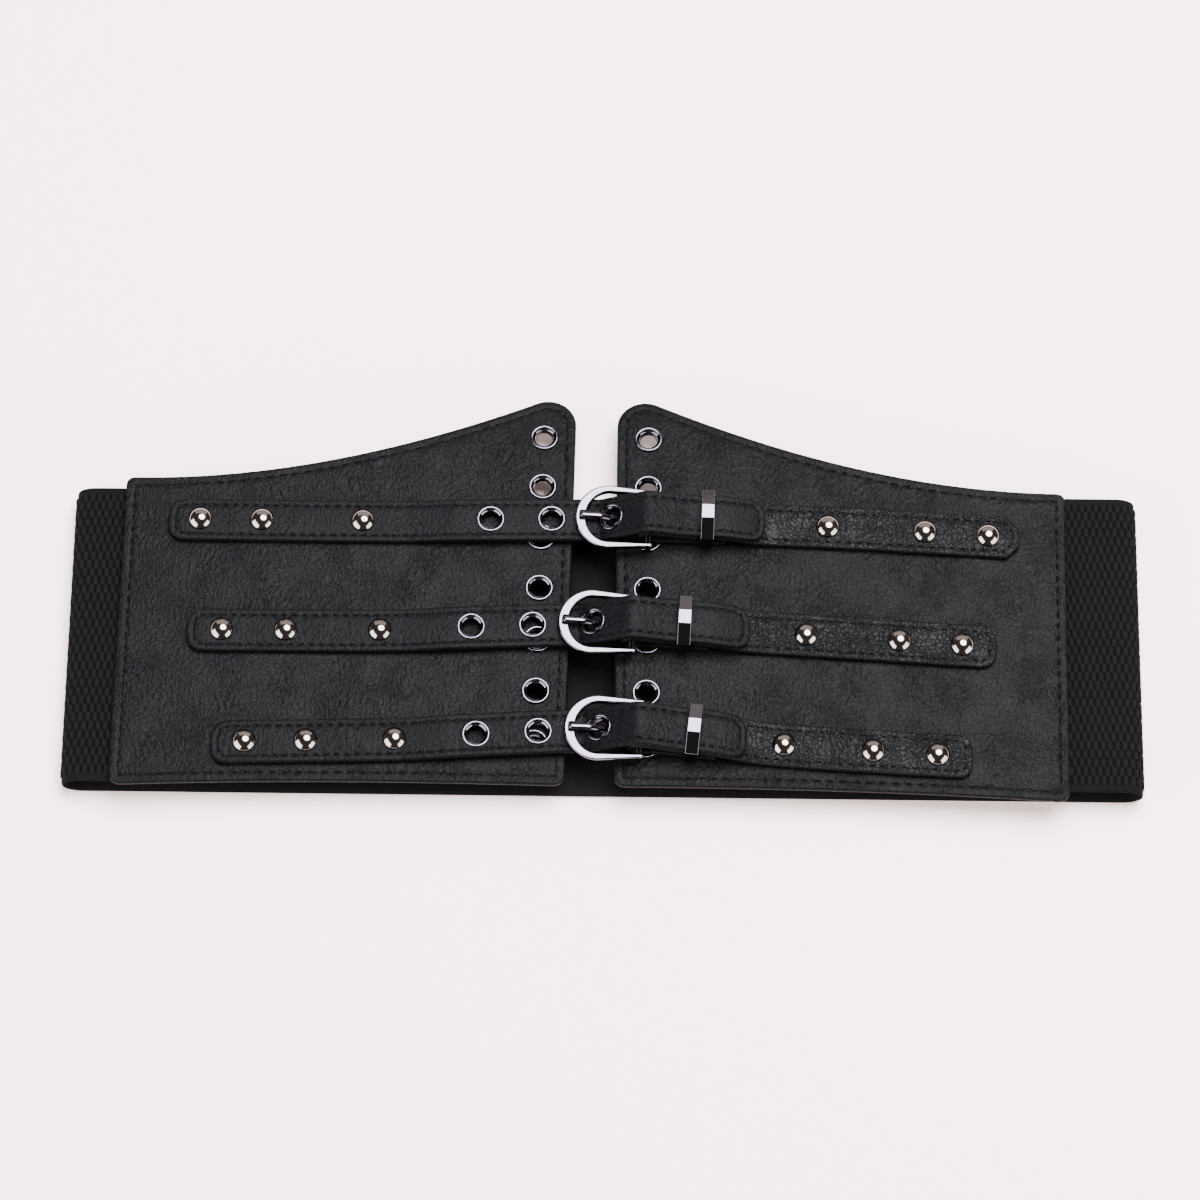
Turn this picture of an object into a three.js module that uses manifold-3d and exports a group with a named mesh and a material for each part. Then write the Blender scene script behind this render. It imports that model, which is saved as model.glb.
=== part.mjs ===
// Corset belt, lying on its back and buckled: a wide elastic waist band folded at both sides, two
// front panels that rise to a point, and three straps whose buckles close the panels.
// Millimetres, +Z up, +X to the wearer's left as the belt is seen, the waist along X.
import * as THREE from 'three';
import { mergeVertices } from 'three/addons/utils/BufferGeometryUtils.js';
import Module from 'manifold-3d';

const wasm = await Module();
wasm.setup();

// Gap between pieces that touch on the real belt.
const clearance = 0.3;

// Elastic waist band, folded flat: its width along Y and its span from fold to fold along X.
const bandWidth = 99.2;
const bandSpan = 339;
const bandThickness = 2;
const foldHeight = 11.4;
const foldReach = 7;
const bandShift = 3.7;
const bandTurn = THREE.MathUtils.degToRad(0.45);

// Front panels: height at the side seam, and how far the peak rises above that.
const panelWidth = 142.5;
const panelHeight = 104;
const panelThickness = 2;
const panelDrop = 0.7;
const peakRise = 30.7;
const peakRadius = 9;
const peakSlope = THREE.MathUtils.degToRad(24);
const hemRise = 2.6;
const hemTurn = 0.55;
const topCornerRadius = 3;
const hemCornerRadius = 4;
const gapTop = 13.2;
const gapBottom = 15.2;
const seamLap = 18;
const sag = 1.2;
const droop = 2.5;

// Straps.
const strapWidth = 14.3;
const strapThickness = 2;
const strapCorner = 6.2;
const liftLength = 15;
const liftSpare = 4;
const foldBack = 24;
const setDown = 13;
const foldJoin = 13;
const strapEase = 30;
const liftEase = 3;

// Buckles: a horseshoe frame whose legs narrow to the bar, a prong and a keeper.
const frameLength = 24.6;
const frameWidth = 21.4;
const frameThickness = 2.2;
const frameEndBand = 3.3;
const frameSideBand = 2.2;
const legTipBand = 1.3;
const barRadius = 1.1;
const barSpread = 19.2;
const notchWidth = 2.8;
const notchDepth = 0.7;
const notchPlace = 0.8;
const prongWidth = 2;
const prongThickness = 1.3;
const prongLevel = 7.8;
const prongDive = THREE.MathUtils.degToRad(24.5);
const prongTurn = 6;
const prongEase = 5;
const prongHeel = 1.75;
const prongHeelAngle = THREE.MathUtils.degToRad(204);
const prongFootAngle = THREE.MathUtils.degToRad(240);
const slotWidth = 3.2;
const slotLength = 9;
const keeperLength = 4.1;
const keeperThickness = 0.8;
const keeperFlat = 4.6;
const keeperCrown = 3.5;

// Studs and eyelets.
const studRadius = 3.5;
const studHeight = 2.3;
const eyeletBore = 5.4;
const eyeletBarrel = 0.3;
const crownRadius = 4.35;
const crownThickness = 0.5;
const flangeRadius = 3.9;
const flangeThickness = 0.3;
const eyeletSeat = 0.2;
const eyeletInset = 10;
const eyeletPitch = panelHeight * 0.1675;
const eyeletPeakDrop = 13.9;
const panelEyeletCount = 7;
const strapEyeletPitch = 19.3;
const strapEyeletCount = 3;

// One row for each tier of straps. Ends, bar and studs are shares of the panel's reach or width, the
// heights y are shares of the panel's height, and hole, keeper and tip are shares of the frame's length.
// The right end's corners are a share of the strap's corners and have the given number of facets.
const tiers = [
  {
    name: 'top',
    leftEnd: 0.904, rightEnd: 0.9, bar: 0.116, hole: 0.476, keeper: 0.752, tip: 1.496, turn: -2.5,
    leftStuds: [0.071, 0.208, 0.433], rightStuds: [0.069, 0.209, 0.425],
    corner: 0.65, facets: 1,
    y: { leftEnd: 0.853, leftStud: 0.859, bar: 0.877, rightStud: 0.867, rightEnd: 0.841 },
  },
  {
    name: 'middle',
    leftEnd: 0.852, rightEnd: 0.85, bar: 0.085, hole: 0.496, keeper: 0.663, tip: 1.5, turn: -2.5,
    leftStuds: [0.077, 0.218, 0.426], rightStuds: [0.076, 0.214, 0.42],
    corner: 1, facets: 5,
    y: { leftEnd: 0.491, leftStud: 0.502, bar: 0.533, rightStud: 0.512, rightEnd: 0.481 },
  },
  {
    name: 'bottom',
    leftEnd: 0.79, rightEnd: 0.797, bar: 0.103, hole: 0.5, keeper: 0.691, tip: 1.362, turn: -1,
    leftStuds: [0.074, 0.208, 0.402], rightStuds: [0.076, 0.217, 0.412],
    corner: 0.85, facets: 5,
    y: { leftEnd: 0.131, leftStud: 0.153, bar: 0.191, rightStud: 0.157, rightEnd: 0.128 },
  },
];

// Levels and lines that follow from the sizes above. The front's own frame has x = 0 in the middle of
// the gap between the panels and y = 0 on the band's middle line.
const panelTop = foldHeight + clearance + panelThickness;
const panelLow = -panelDrop - panelHeight / 2;
const panelHigh = panelLow + panelHeight;
const panelPeak = panelHigh + peakRise;
const reach = (gapTop + gapBottom) / 4 + panelWidth;
const crownProud = eyeletSeat + crownThickness;
const flangeReach = eyeletSeat + flangeThickness;
const holeRadius = eyeletBore / 2 + eyeletBarrel + clearance;

// Blanks reach past the outlines that trim them by this share, and outlines past the whole front.
const spare = 1.02;
const above = 3 * panelTop;

// Heights above the panel's face: a strap that lies flat, one that passes over eyelets, and the bar.
const lowStrap = clearance + strapThickness / 2;
const highStrap = crownProud + clearance + flangeReach + strapThickness / 2;
const frameBottom = highStrap + strapThickness / 2 + clearance;
const barHeight = frameBottom + frameThickness / 2;
const foldRadius = barRadius + 2 * clearance + strapThickness / 2;
const tongueRadius = foldRadius + strapThickness + clearance;
const keeperBottom = lowStrap + strapThickness / 2 + clearance;
const keptStrap = keeperBottom + keeperThickness + clearance + strapThickness / 2;
const keptTongue = keptStrap + strapThickness + clearance;
const prongHeight = frameBottom + frameThickness - notchDepth + clearance + prongThickness / 2;

const leather = new THREE.MeshStandardMaterial({ color: '#323336', roughness: 0.55, metalness: 0 });
const elastic = new THREE.MeshStandardMaterial({ color: '#1e1f1f', roughness: 0.9, metalness: 0 });
const metal = new THREE.MeshStandardMaterial({ color: '#a8a4ac', roughness: 0.15, metalness: 1 });

// How far the front sinks between the folds and how its peaks bend down past the band.
function drape(x, y) {
  const across = Math.min(1, Math.abs(x) / (reach - seamLap));
  const past = Math.max(0, (y - bandWidth / 2) / (panelPeak - bandWidth / 2));
  return -sag * (1 - across ** 2) ** 2 - droop * past ** 2;
}

function solidOf(geometry) {
  const bare = geometry.clone();
  bare.deleteAttribute('normal');
  bare.deleteAttribute('uv');
  const merged = mergeVertices(bare, 1e-4);
  return new wasm.Manifold(new wasm.Mesh({
    numProp: 3,
    vertProperties: new Float32Array(merged.attributes.position.array),
    triVerts: new Uint32Array(merged.index.array),
  }));
}

function geometryOf(solid) {
  const mesh = solid.getMesh();
  const geometry = new THREE.BufferGeometry();
  geometry.setAttribute('position', new THREE.BufferAttribute(mesh.vertProperties, 3));
  geometry.setIndex(new THREE.BufferAttribute(mesh.triVerts, 1));
  geometry.computeVertexNormals();
  return geometry;
}

function moveVertices(geometry, move) {
  const position = geometry.attributes.position;
  const point = new THREE.Vector3();
  for (let i = 0; i < position.count; i += 1) {
    move(point.fromBufferAttribute(position, i));
    position.setXYZ(i, point.x, point.y, point.z);
  }
  geometry.computeVertexNormals();
  return geometry;
}

// A plan outline made solid between two heights.
function planSolid(shape, low, high, curveSegments = 6) {
  const options = { depth: high - low, bevelEnabled: false, curveSegments };
  return solidOf(new THREE.ExtrudeGeometry(shape, options).translate(0, 0, low));
}

// A side outline, drawn as x and z, made solid along Y about the middle line.
function sideGeometry(shape, width, curveSegments = 6) {
  const options = { depth: width, bevelEnabled: false, curveSegments };
  return new THREE.ExtrudeGeometry(shape, options).rotateX(Math.PI / 2).translate(0, width / 2, 0);
}

function upright(radius, low, high, sides) {
  return new THREE.CylinderGeometry(radius, radius, high - low, sides)
    .rotateX(Math.PI / 2)
    .translate(0, 0, (low + high) / 2);
}

// A bent line with each corner rounded by up to the given radius.
function rounded(corners, radius, steps = 3) {
  const line = [corners[0]];
  for (let i = 1; i < corners.length - 1; i += 1) {
    const before = corners[i - 1].clone().sub(corners[i]);
    const after = corners[i + 1].clone().sub(corners[i]);
    const half = Math.abs(Math.PI - before.angleTo(after)) / 2;
    const room = 0.45 * Math.min(before.length(), after.length());
    const cut = Math.min(radius * Math.tan(half), room);
    const start = corners[i].clone().add(before.setLength(cut));
    const end = corners[i].clone().add(after.setLength(cut));
    const bend = new THREE.QuadraticBezierCurve(start, corners[i], end);
    line.push(...(cut < 0.05 ? [corners[i]] : bend.getPoints(steps)));
  }
  return [...line, corners[corners.length - 1]];
}

// The side outline of a ribbon of even thickness along a line.
function ribbon(line, thickness) {
  const upper = [];
  const lower = [];
  line.forEach((point, i) => {
    const last = i === line.length - 1;
    const ahead = last ? point.clone().sub(line[i - 1]) : line[i + 1].clone().sub(point);
    const behind = i > 0 ? point.clone().sub(line[i - 1]) : ahead.clone();
    const along = ahead.normalize().add(behind.normalize()).normalize();
    const side = new THREE.Vector2(-along.y, along.x);
    const spread = thickness / 2 / Math.max(0.5, side.dot(new THREE.Vector2(-behind.y, behind.x)));
    upper.push(point.clone().addScaledVector(side, spread));
    lower.unshift(point.clone().addScaledVector(side, -spread));
  });
  return new THREE.Shape([...upper, ...lower]);
}

// Where a line from a point touches the upper side of a circle. The point lies left of it for
// side = -1 and right of it for side = 1. The angle is that of the touching point on the circle.
function touch(point, centre, radius, side) {
  const away = point.clone().sub(centre);
  const turn = Math.atan2(away.y, side * away.x) + Math.acos(radius / away.length());
  return side > 0 ? turn : Math.PI - turn;
}

function arc(centre, radius, from, to, steps) {
  const curve = new THREE.ArcCurve(centre.x, centre.y, radius, from, to, to < from);
  return curve.getPoints(steps);
}

function heightOn(line, x) {
  const i = line.findIndex((point, k) => k > 0 && point.x >= x);
  const share = (x - line[i - 1].x) / (line[i].x - line[i - 1].x);
  return {
    z: THREE.MathUtils.lerp(line[i - 1].y, line[i].y, share),
    slope: (line[i].y - line[i - 1].y) / (line[i].x - line[i - 1].x),
  };
}

// The elastic band: a flattened loop, open at the front where the panels take over.
function elasticBand() {
  const middle = bandThickness / 2;
  const half = bandSpan / 2 - foldReach;
  const high = foldHeight - middle;
  const fold = (foldHeight - bandThickness) / 2;
  const leftEnd = new THREE.Vector2(-reach + seamLap - bandShift, high);
  const rightEnd = new THREE.Vector2(reach - seamLap - bandShift, high);
  const foldLine = (side) => new THREE.EllipseCurve(
    side * half, middle + fold, foldReach - middle, fold, side * Math.PI / 2, side * -Math.PI / 2, side > 0,
  ).getPoints(8);
  const left = foldLine(1).map((point) => new THREE.Vector2(-point.x, point.y));
  const right = foldLine(1).reverse();
  const shape = ribbon([leftEnd, ...left, ...right, rightEnd], bandThickness);
  return sideGeometry(shape, bandWidth);
}

// The plan outline of a panel. side is -1 for the left one and 1 for the right one.
function panelOutline(side) {
  const inTop = gapTop / 2;
  const inLow = gapBottom / 2;
  const hem = panelLow + hemRise;
  const centre = new THREE.Vector2(inTop + peakRadius, panelPeak - peakRadius);
  const shoulder = new THREE.Vector2(Math.sin(peakSlope), Math.cos(peakSlope))
    .multiplyScalar(peakRadius)
    .add(centre);
  const waist = shoulder.x + (shoulder.y - panelHigh) / Math.tan(peakSlope);
  const shape = new THREE.Shape();
  shape.moveTo(inLow, hem + hemCornerRadius);
  shape.quadraticCurveTo(inLow, hem, inLow + hemCornerRadius, hem);
  shape.quadraticCurveTo(reach * hemTurn, hem + hemRise / 4, reach - hemCornerRadius, panelLow);
  shape.quadraticCurveTo(reach, panelLow, reach, panelLow + hemCornerRadius);
  shape.lineTo(reach, panelHigh - topCornerRadius);
  shape.quadraticCurveTo(reach, panelHigh, reach - topCornerRadius, panelHigh);
  shape.quadraticCurveTo(waist, panelHigh, shoulder.x, shoulder.y);
  shape.absarc(centre.x, centre.y, peakRadius, Math.PI / 2 - peakSlope, Math.PI, false);
  shape.closePath();
  const points = shape.getPoints(6).map((point) => new THREE.Vector2(side * point.x, point.y));
  return new THREE.Shape(points);
}

function panelEyeletPlace(side, index) {
  const y = panelPeak - eyeletPeakDrop - index * eyeletPitch;
  const share = (panelPeak - y) / (panelPeak - panelLow);
  const edge = THREE.MathUtils.lerp(gapTop, gapBottom, share) / 2;
  return new THREE.Vector2(side * (edge + eyeletInset), y);
}

function panel(side) {
  const height = panelPeak - panelLow;
  const sheet = new THREE.BoxGeometry(reach, height, panelThickness, 12, 14, 1)
    .translate(side * reach / 2, (panelPeak + panelLow) / 2, panelTop - panelThickness / 2);
  moveVertices(sheet, (point) => {
    point.z += drape(point.x, point.y);
    point.x *= spare;
    point.y *= spare;
  });
  let solid = solidOf(sheet).intersect(planSolid(panelOutline(side), 0, above));
  for (let i = 0; i < panelEyeletCount; i += 1) {
    const place = panelEyeletPlace(side, i);
    const drill = upright(holeRadius, 0, above, 10).translate(place.x, place.y, 0);
    solid = solid.subtract(solidOf(drill));
  }
  return geometryOf(solid);
}

// Places of one tier along X, and the sideways bow of its straps.
function lineUp(tier) {
  const yAt = (share) => panelLow + share * panelHeight;
  const x = {
    leftEnd: -tier.leftEnd * reach,
    rightEnd: tier.rightEnd * reach,
    bar: tier.bar * reach,
  };
  const leftStuds = tier.leftStuds.map((share) => x.leftEnd + share * panelWidth);
  const rightStuds = tier.rightStuds.map((share) => x.rightEnd - share * panelWidth);
  const stations = [x.leftEnd, leftStuds[2], x.bar, rightStuds[2], x.rightEnd];
  const { y } = tier;
  const heights = [y.leftEnd, y.leftStud, y.bar, y.rightStud, y.rightEnd].map(yAt);
  const bow = new THREE.CubicInterpolant(stations, heights, 1, [0]);
  const lateral = (at) => bow.evaluate(at)[0];
  const turn = THREE.MathUtils.degToRad(tier.turn);
  const middle = frameLength / 2;
  return {
    ...tier,
    x,
    leftStuds,
    rightStuds,
    lateral,
    turn,
    barY: lateral(x.bar - middle) + middle * Math.tan(turn),
    lean: (at) => Math.atan(lateral(at + 1) - lateral(at)),
    hole: x.bar - tier.hole * frameLength,
    keeper: x.bar + tier.keeper * frameLength,
    tip: x.bar + tier.tip * frameLength,
    barPoint: new THREE.Vector2(x.bar, barHeight),
  };
}

// The height of the prong's middle line above the panel's face, at a distance left of the bar.
function prongAt(distance) {
  return prongHeight - (frameLength - barRadius - prongLevel - distance) * Math.tan(prongDive);
}

// Middle lines of the straps, as x and the height above the panel's face.
function buckleStrapLine(row) {
  const bar = row.barPoint;
  const flat = row.x.bar + foldJoin;
  const kept = new THREE.Vector2(flat, keptStrap);
  const leave = touch(kept, bar, foldRadius, 1);
  const run = rounded([
    ...arc(bar, foldRadius, leave, leave, 1).slice(0, 1),
    kept,
    new THREE.Vector2(row.x.bar + foldBack, keptStrap),
    new THREE.Vector2(row.x.bar + foldBack + setDown, lowStrap),
    new THREE.Vector2(row.x.rightEnd, lowStrap),
  ], strapEase);
  const under = rounded([
    new THREE.Vector2(row.x.bar + foldBack, lowStrap),
    new THREE.Vector2(flat, lowStrap),
    new THREE.Vector2(row.x.bar + slotLength / 2, bar.y - foldRadius),
    new THREE.Vector2(row.x.bar, bar.y - foldRadius),
  ], strapEase, 2);
  return [...under, ...arc(bar, foldRadius, Math.PI * 1.5, leave, 10).slice(1), ...run.slice(1)];
}

function tongueStrapLine(row) {
  const bar = row.barPoint;
  const hole = new THREE.Vector2(row.hole, prongAt(row.x.bar - row.hole));
  const rise = touch(hole, bar, tongueRadius, -1);
  const onto = arc(bar, tongueRadius, rise, rise, 1)[0];
  const climb = (onto.y - hole.y) / (onto.x - hole.x);
  const foot = hole.x - (hole.y - highStrap) / climb;
  const kept = new THREE.Vector2(row.x.bar + foldJoin, keptTongue);
  const leave = touch(kept, bar, tongueRadius, 1);
  const lifted = panelEyeletPlace(-1, 0).x - crownRadius - strapEyeletPitch - liftSpare;
  const end = row.x.bar + foldBack;
  const lowered = (row.tip - end) / setDown;
  const approach = rounded([
    new THREE.Vector2(row.x.leftEnd, lowStrap),
    new THREE.Vector2(lifted - liftLength, lowStrap),
    new THREE.Vector2(lifted, highStrap),
    new THREE.Vector2(foot, highStrap),
    onto,
  ], liftEase);
  const finish = rounded([
    arc(bar, tongueRadius, leave, leave, 1)[0],
    kept,
    new THREE.Vector2(end, keptTongue),
    new THREE.Vector2(row.tip, THREE.MathUtils.lerp(keptTongue, lowStrap + keptTongue - keptStrap, lowered)),
  ], strapEase);
  return [...approach, ...arc(bar, tongueRadius, rise, leave, 5).slice(1), ...finish.slice(1)];
}

// Lifts a middle line from the panel's face to its real height.
function onPanel(line, row) {
  return line.map(({ x, y }) => new THREE.Vector2(x, y + panelTop + drape(x, row.lateral(x))));
}

// The plan outline of a strap with cut corners at its ends.
function strapOutline(from, to, corner) {
  const half = strapWidth / 2;
  const shape = new THREE.Shape();
  shape.moveTo(from + corner, -half);
  shape.lineTo(to - corner, -half);
  shape.quadraticCurveTo(to, -half, to, corner - half);
  shape.lineTo(to, half - corner);
  shape.quadraticCurveTo(to, half, to - corner, half);
  shape.lineTo(from + corner, half);
  shape.quadraticCurveTo(from, half, from, half - corner);
  shape.lineTo(from, corner - half);
  shape.quadraticCurveTo(from, -half, from + corner, -half);
  return shape;
}

function bend(geometry, row) {
  return moveVertices(geometry, (point) => {
    point.y += row.lateral(point.x);
  });
}

function tongueStrap(row) {
  const line = onPanel(tongueStrapLine(row), row);
  const outline = strapOutline(row.x.leftEnd, row.tip, strapCorner);
  let solid = solidOf(sideGeometry(ribbon(line, strapThickness), strapWidth * spare));
  solid = solid.intersect(planSolid(outline, 0, above, 5));
  strapEyeletPlaces(row).forEach(({ x, z, tilt }) => {
    const drill = upright(holeRadius, -crownRadius, crownRadius, 10).rotateY(tilt).translate(x, 0, z);
    solid = solid.subtract(solidOf(drill));
  });
  return bend(geometryOf(solid), row);
}

function buckleStrap(row) {
  const line = onPanel(buckleStrapLine(row), row);
  const corner = row.corner * strapCorner;
  const foldEdge = row.x.bar - foldRadius - strapThickness;
  const outline = strapOutline(foldEdge - corner, row.x.rightEnd, corner);
  const slot = new THREE.BoxGeometry(slotLength, slotWidth, 4 * foldRadius + 2 * strapThickness)
    .translate(row.x.bar - clearance, row.barY - row.lateral(row.x.bar), panelTop + barHeight);
  let solid = solidOf(sideGeometry(ribbon(line, strapThickness), strapWidth * spare));
  solid = solid.intersect(planSolid(outline, 0, above, row.facets)).subtract(solidOf(slot));
  return bend(geometryOf(solid), row);
}

// Where the strap's eyelets lie: middle of the strap's thickness, with the strap's slope as a tilt.
function strapEyeletPlaces(row) {
  const line = onPanel(tongueStrapLine(row), row);
  return Array.from({ length: strapEyeletCount }, (_, i) => {
    const x = row.hole - (strapEyeletCount - 1 - i) * strapEyeletPitch;
    const { z, slope } = heightOn(line, x);
    return { x, z, tilt: -Math.atan(slope) };
  });
}

// The frame, with its bar's middle at the origin and its round end to the left.
function buckleFrame() {
  const end = frameLength - barRadius;
  const outer = frameWidth / 2;
  const inner = outer - frameSideBand;
  const bend = end - outer;
  const tip = barSpread / 2;
  const shape = new THREE.Shape();
  shape.moveTo(barRadius, tip);
  shape.lineTo(-bend, outer);
  shape.absellipse(-bend, 0, end - bend, outer, Math.PI / 2, Math.PI * 1.5, false);
  shape.lineTo(barRadius, -tip);
  shape.lineTo(barRadius, legTipBand - tip);
  shape.lineTo(-bend, -inner);
  shape.absellipse(-bend, 0, end - bend - frameEndBand, inner, Math.PI * 1.5, Math.PI / 2, true);
  shape.lineTo(barRadius, tip - legTipBand);
  const notch = new THREE.BoxGeometry(frameEndBand, notchWidth, 2 * notchDepth)
    .translate(-end + frameEndBand * notchPlace, 0, frameThickness / 2);
  const bar = new THREE.CylinderGeometry(barRadius, barRadius, barSpread - legTipBand, 10);
  return geometryOf(planSolid(shape, -frameThickness / 2, frameThickness / 2, 7)
    .add(solidOf(bar))
    .subtract(solidOf(notch)));
}

// The prong: a ring round the bar, and a shank that dives through the strap's hole and comes up to
// lie in the frame's notch.
function prong() {
  const ringRadius = barRadius + clearance + prongThickness / 2;
  const kink = barRadius + prongLevel - frameLength;
  const low = kink + prongTurn;
  const onRing = (radius, angle) => new THREE.Vector2(radius * Math.cos(angle), radius * Math.sin(angle));
  const line = rounded([
    new THREE.Vector2(-frameLength + barRadius + frameEndBand / 2, prongHeight - barHeight),
    new THREE.Vector2(kink, prongHeight - barHeight),
    new THREE.Vector2(low, prongAt(-low) - barHeight),
    onRing(prongHeel * ringRadius, prongHeelAngle),
    onRing(ringRadius, prongFootAngle),
  ], prongEase);
  const ring = new THREE.Shape();
  ring.absarc(0, 0, ringRadius + prongThickness / 2, 0, 2 * Math.PI, false);
  const eye = new THREE.Path();
  eye.absarc(0, 0, ringRadius - prongThickness / 2, 0, 2 * Math.PI, true);
  ring.holes.push(eye);
  const shank = solidOf(sideGeometry(ribbon(line, prongThickness), prongWidth));
  return geometryOf(shank.add(solidOf(sideGeometry(ring, prongWidth, 6))));
}

// The keeper: a band with a roofed top, drawn as y and z above the panel's face.
function keeper() {
  const inner = strapWidth / 2 + 1.5 * clearance;
  const outer = inner + keeperThickness;
  const shoulder = keptTongue + strapThickness / 2 + clearance + keeperThickness / 4;
  const top = shoulder + keeperCrown;
  const ridge = keeperFlat / 2;
  const side = (half, low, mid, high, flat) => [
    [half, low], [half, mid], [flat, high], [-flat, high], [-half, mid], [-half, low],
  ].map(([y, z]) => new THREE.Vector2(y, z));
  const shape = new THREE.Shape(side(outer, keeperBottom, shoulder, top, ridge));
  const floor = keeperBottom + keeperThickness;
  shape.holes.push(new THREE.Path(side(inner, floor, shoulder, top - keeperThickness, ridge)));
  return new THREE.ExtrudeGeometry(shape, { depth: keeperLength, bevelEnabled: false })
    .rotateX(Math.PI / 2)
    .rotateZ(Math.PI / 2)
    .translate(-keeperLength / 2, 0, 0);
}

// A domed stud whose flat base lies at z = 0.
function stud() {
  const ball = (studRadius ** 2 + studHeight ** 2) / (2 * studHeight);
  const edge = Math.asin(studRadius / ball);
  const rings = 3;
  const profile = Array.from({ length: rings + 1 }, (_, i) => {
    const angle = edge * (1 - i / rings);
    return new THREE.Vector2(ball * Math.sin(angle), ball * Math.cos(angle) - ball + studHeight);
  });
  profile[rings].x = 0;
  return new THREE.LatheGeometry([new THREE.Vector2(0, 0), ...profile], 12).rotateX(Math.PI / 2);
}

// An eyelet through a sheet whose face lies at z = 0.
function eyelet(sheetThickness) {
  const bore = eyeletBore / 2;
  const barrel = bore + eyeletBarrel;
  const back = -sheetThickness - flangeReach;
  const profile = [
    [bore, back], [flangeRadius, back], [flangeRadius, back + flangeThickness],
    [barrel, back + flangeThickness], [barrel, eyeletSeat], [crownRadius, eyeletSeat],
    [(crownRadius + bore) / 2, crownProud], [bore, eyeletSeat], [bore, back],
  ].map(([r, z]) => new THREE.Vector2(r, z));
  return new THREE.LatheGeometry(profile, 10).rotateX(Math.PI / 2);
}

const belt = new THREE.Group();
const front = new THREE.Group();
belt.add(front);

function place(parent, name, geometry, material, x = 0, y = 0, z = 0) {
  const mesh = new THREE.Mesh(geometry, material);
  mesh.name = name;
  mesh.position.set(x, y, z);
  parent.add(mesh);
  return mesh;
}

// Tilts a piece that lies on the draped front so that it follows the surface below it.
function settle(mesh, x, y) {
  mesh.rotation.x = Math.atan(drape(x, y + 0.5) - drape(x, y - 0.5));
  mesh.rotation.y = -Math.atan(drape(x + 0.5, y) - drape(x - 0.5, y));
}

const band = place(belt, 'elastic_band', elasticBand(), elastic, bandShift, 0, 0);
band.rotation.z = bandTurn;

const sides = [['left', -1], ['right', 1]];
const panelEyelet = eyelet(panelThickness);
sides.forEach(([word, side]) => {
  place(front, `${word}_panel`, panel(side), leather);
  for (let i = 0; i < panelEyeletCount; i += 1) {
    const { x, y } = panelEyeletPlace(side, i);
    const name = `panel_eyelet_${word}_${i + 1}`;
    settle(place(front, name, panelEyelet, metal, x, y, panelTop + drape(x, y)), x, y);
  }
});

const shapes = {
  frame: buckleFrame(),
  prong: prong(),
  keeper: keeper(),
  stud: stud(),
  eyelet: eyelet(strapThickness),
};
tiers.map(lineUp).forEach((row) => {
  place(front, `tongue_strap_${row.name}`, tongueStrap(row), leather);
  place(front, `buckle_strap_${row.name}`, buckleStrap(row), leather);

  const buckle = new THREE.Group();
  buckle.position.set(row.x.bar, row.barY, panelTop + drape(row.x.bar, row.barY) + barHeight);
  buckle.rotation.z = row.turn;
  front.add(buckle);
  place(buckle, `buckle_frame_${row.name}`, shapes.frame, metal);
  place(buckle, `prong_${row.name}`, shapes.prong, metal);

  const keeperY = row.lateral(row.keeper);
  const keeperZ = panelTop + drape(row.keeper, keeperY);
  const loop = place(front, `keeper_${row.name}`, shapes.keeper, metal, row.keeper, keeperY, keeperZ);
  loop.rotation.z = row.lean(row.keeper);

  const straps = [
    ['left', row.leftStuds, tongueStrapLine],
    ['right', row.rightStuds, buckleStrapLine],
  ];
  straps.forEach(([word, places, lineOf]) => {
    const line = onPanel(lineOf(row), row);
    places.forEach((x, i) => {
      const { z, slope } = heightOn(line, x);
      const tilt = -Math.atan(slope);
      const rise = strapThickness / 2 + clearance;
      const at = [x + rise * Math.sin(tilt), row.lateral(x), z + rise * Math.cos(tilt)];
      const mesh = place(front, `stud_${row.name}_${word}_${i + 1}`, shapes.stud, metal, ...at);
      mesh.rotation.y = tilt;
    });
  });

  strapEyeletPlaces(row).forEach(({ x, z, tilt }, i) => {
    const rise = strapThickness / 2;
    const at = [x + rise * Math.sin(tilt), row.lateral(x), z + rise * Math.cos(tilt)];
    const mesh = place(front, `strap_eyelet_${row.name}_${i + 1}`, shapes.eyelet, metal, ...at);
    mesh.rotation.y = tilt;
  });
});

// The origin lies below the middle of the whole belt.
const box = new THREE.Box3().setFromObject(belt, true);
const centre = box.getCenter(new THREE.Vector3());
belt.position.set(-centre.x, -centre.y, -box.min.z);
belt.updateMatrixWorld(true);

export default belt;
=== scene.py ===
"""Corset belt: the finished surface of each piece, built over the belt's packed CAD solids.

Lengths are in metres, as Blender's are. The front's own frame has x = 0 in the middle of the gap between
the panels and y = 0 on the elastic band's middle line.
"""

import math
from collections import namedtuple

import bmesh
import bpy
import numpy as np
from bpy.props import FloatProperty, FloatVectorProperty, IntProperty, PointerProperty
from mathutils import Matrix, Vector
from mathutils.geometry import delaunay_2d_cdt


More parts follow.
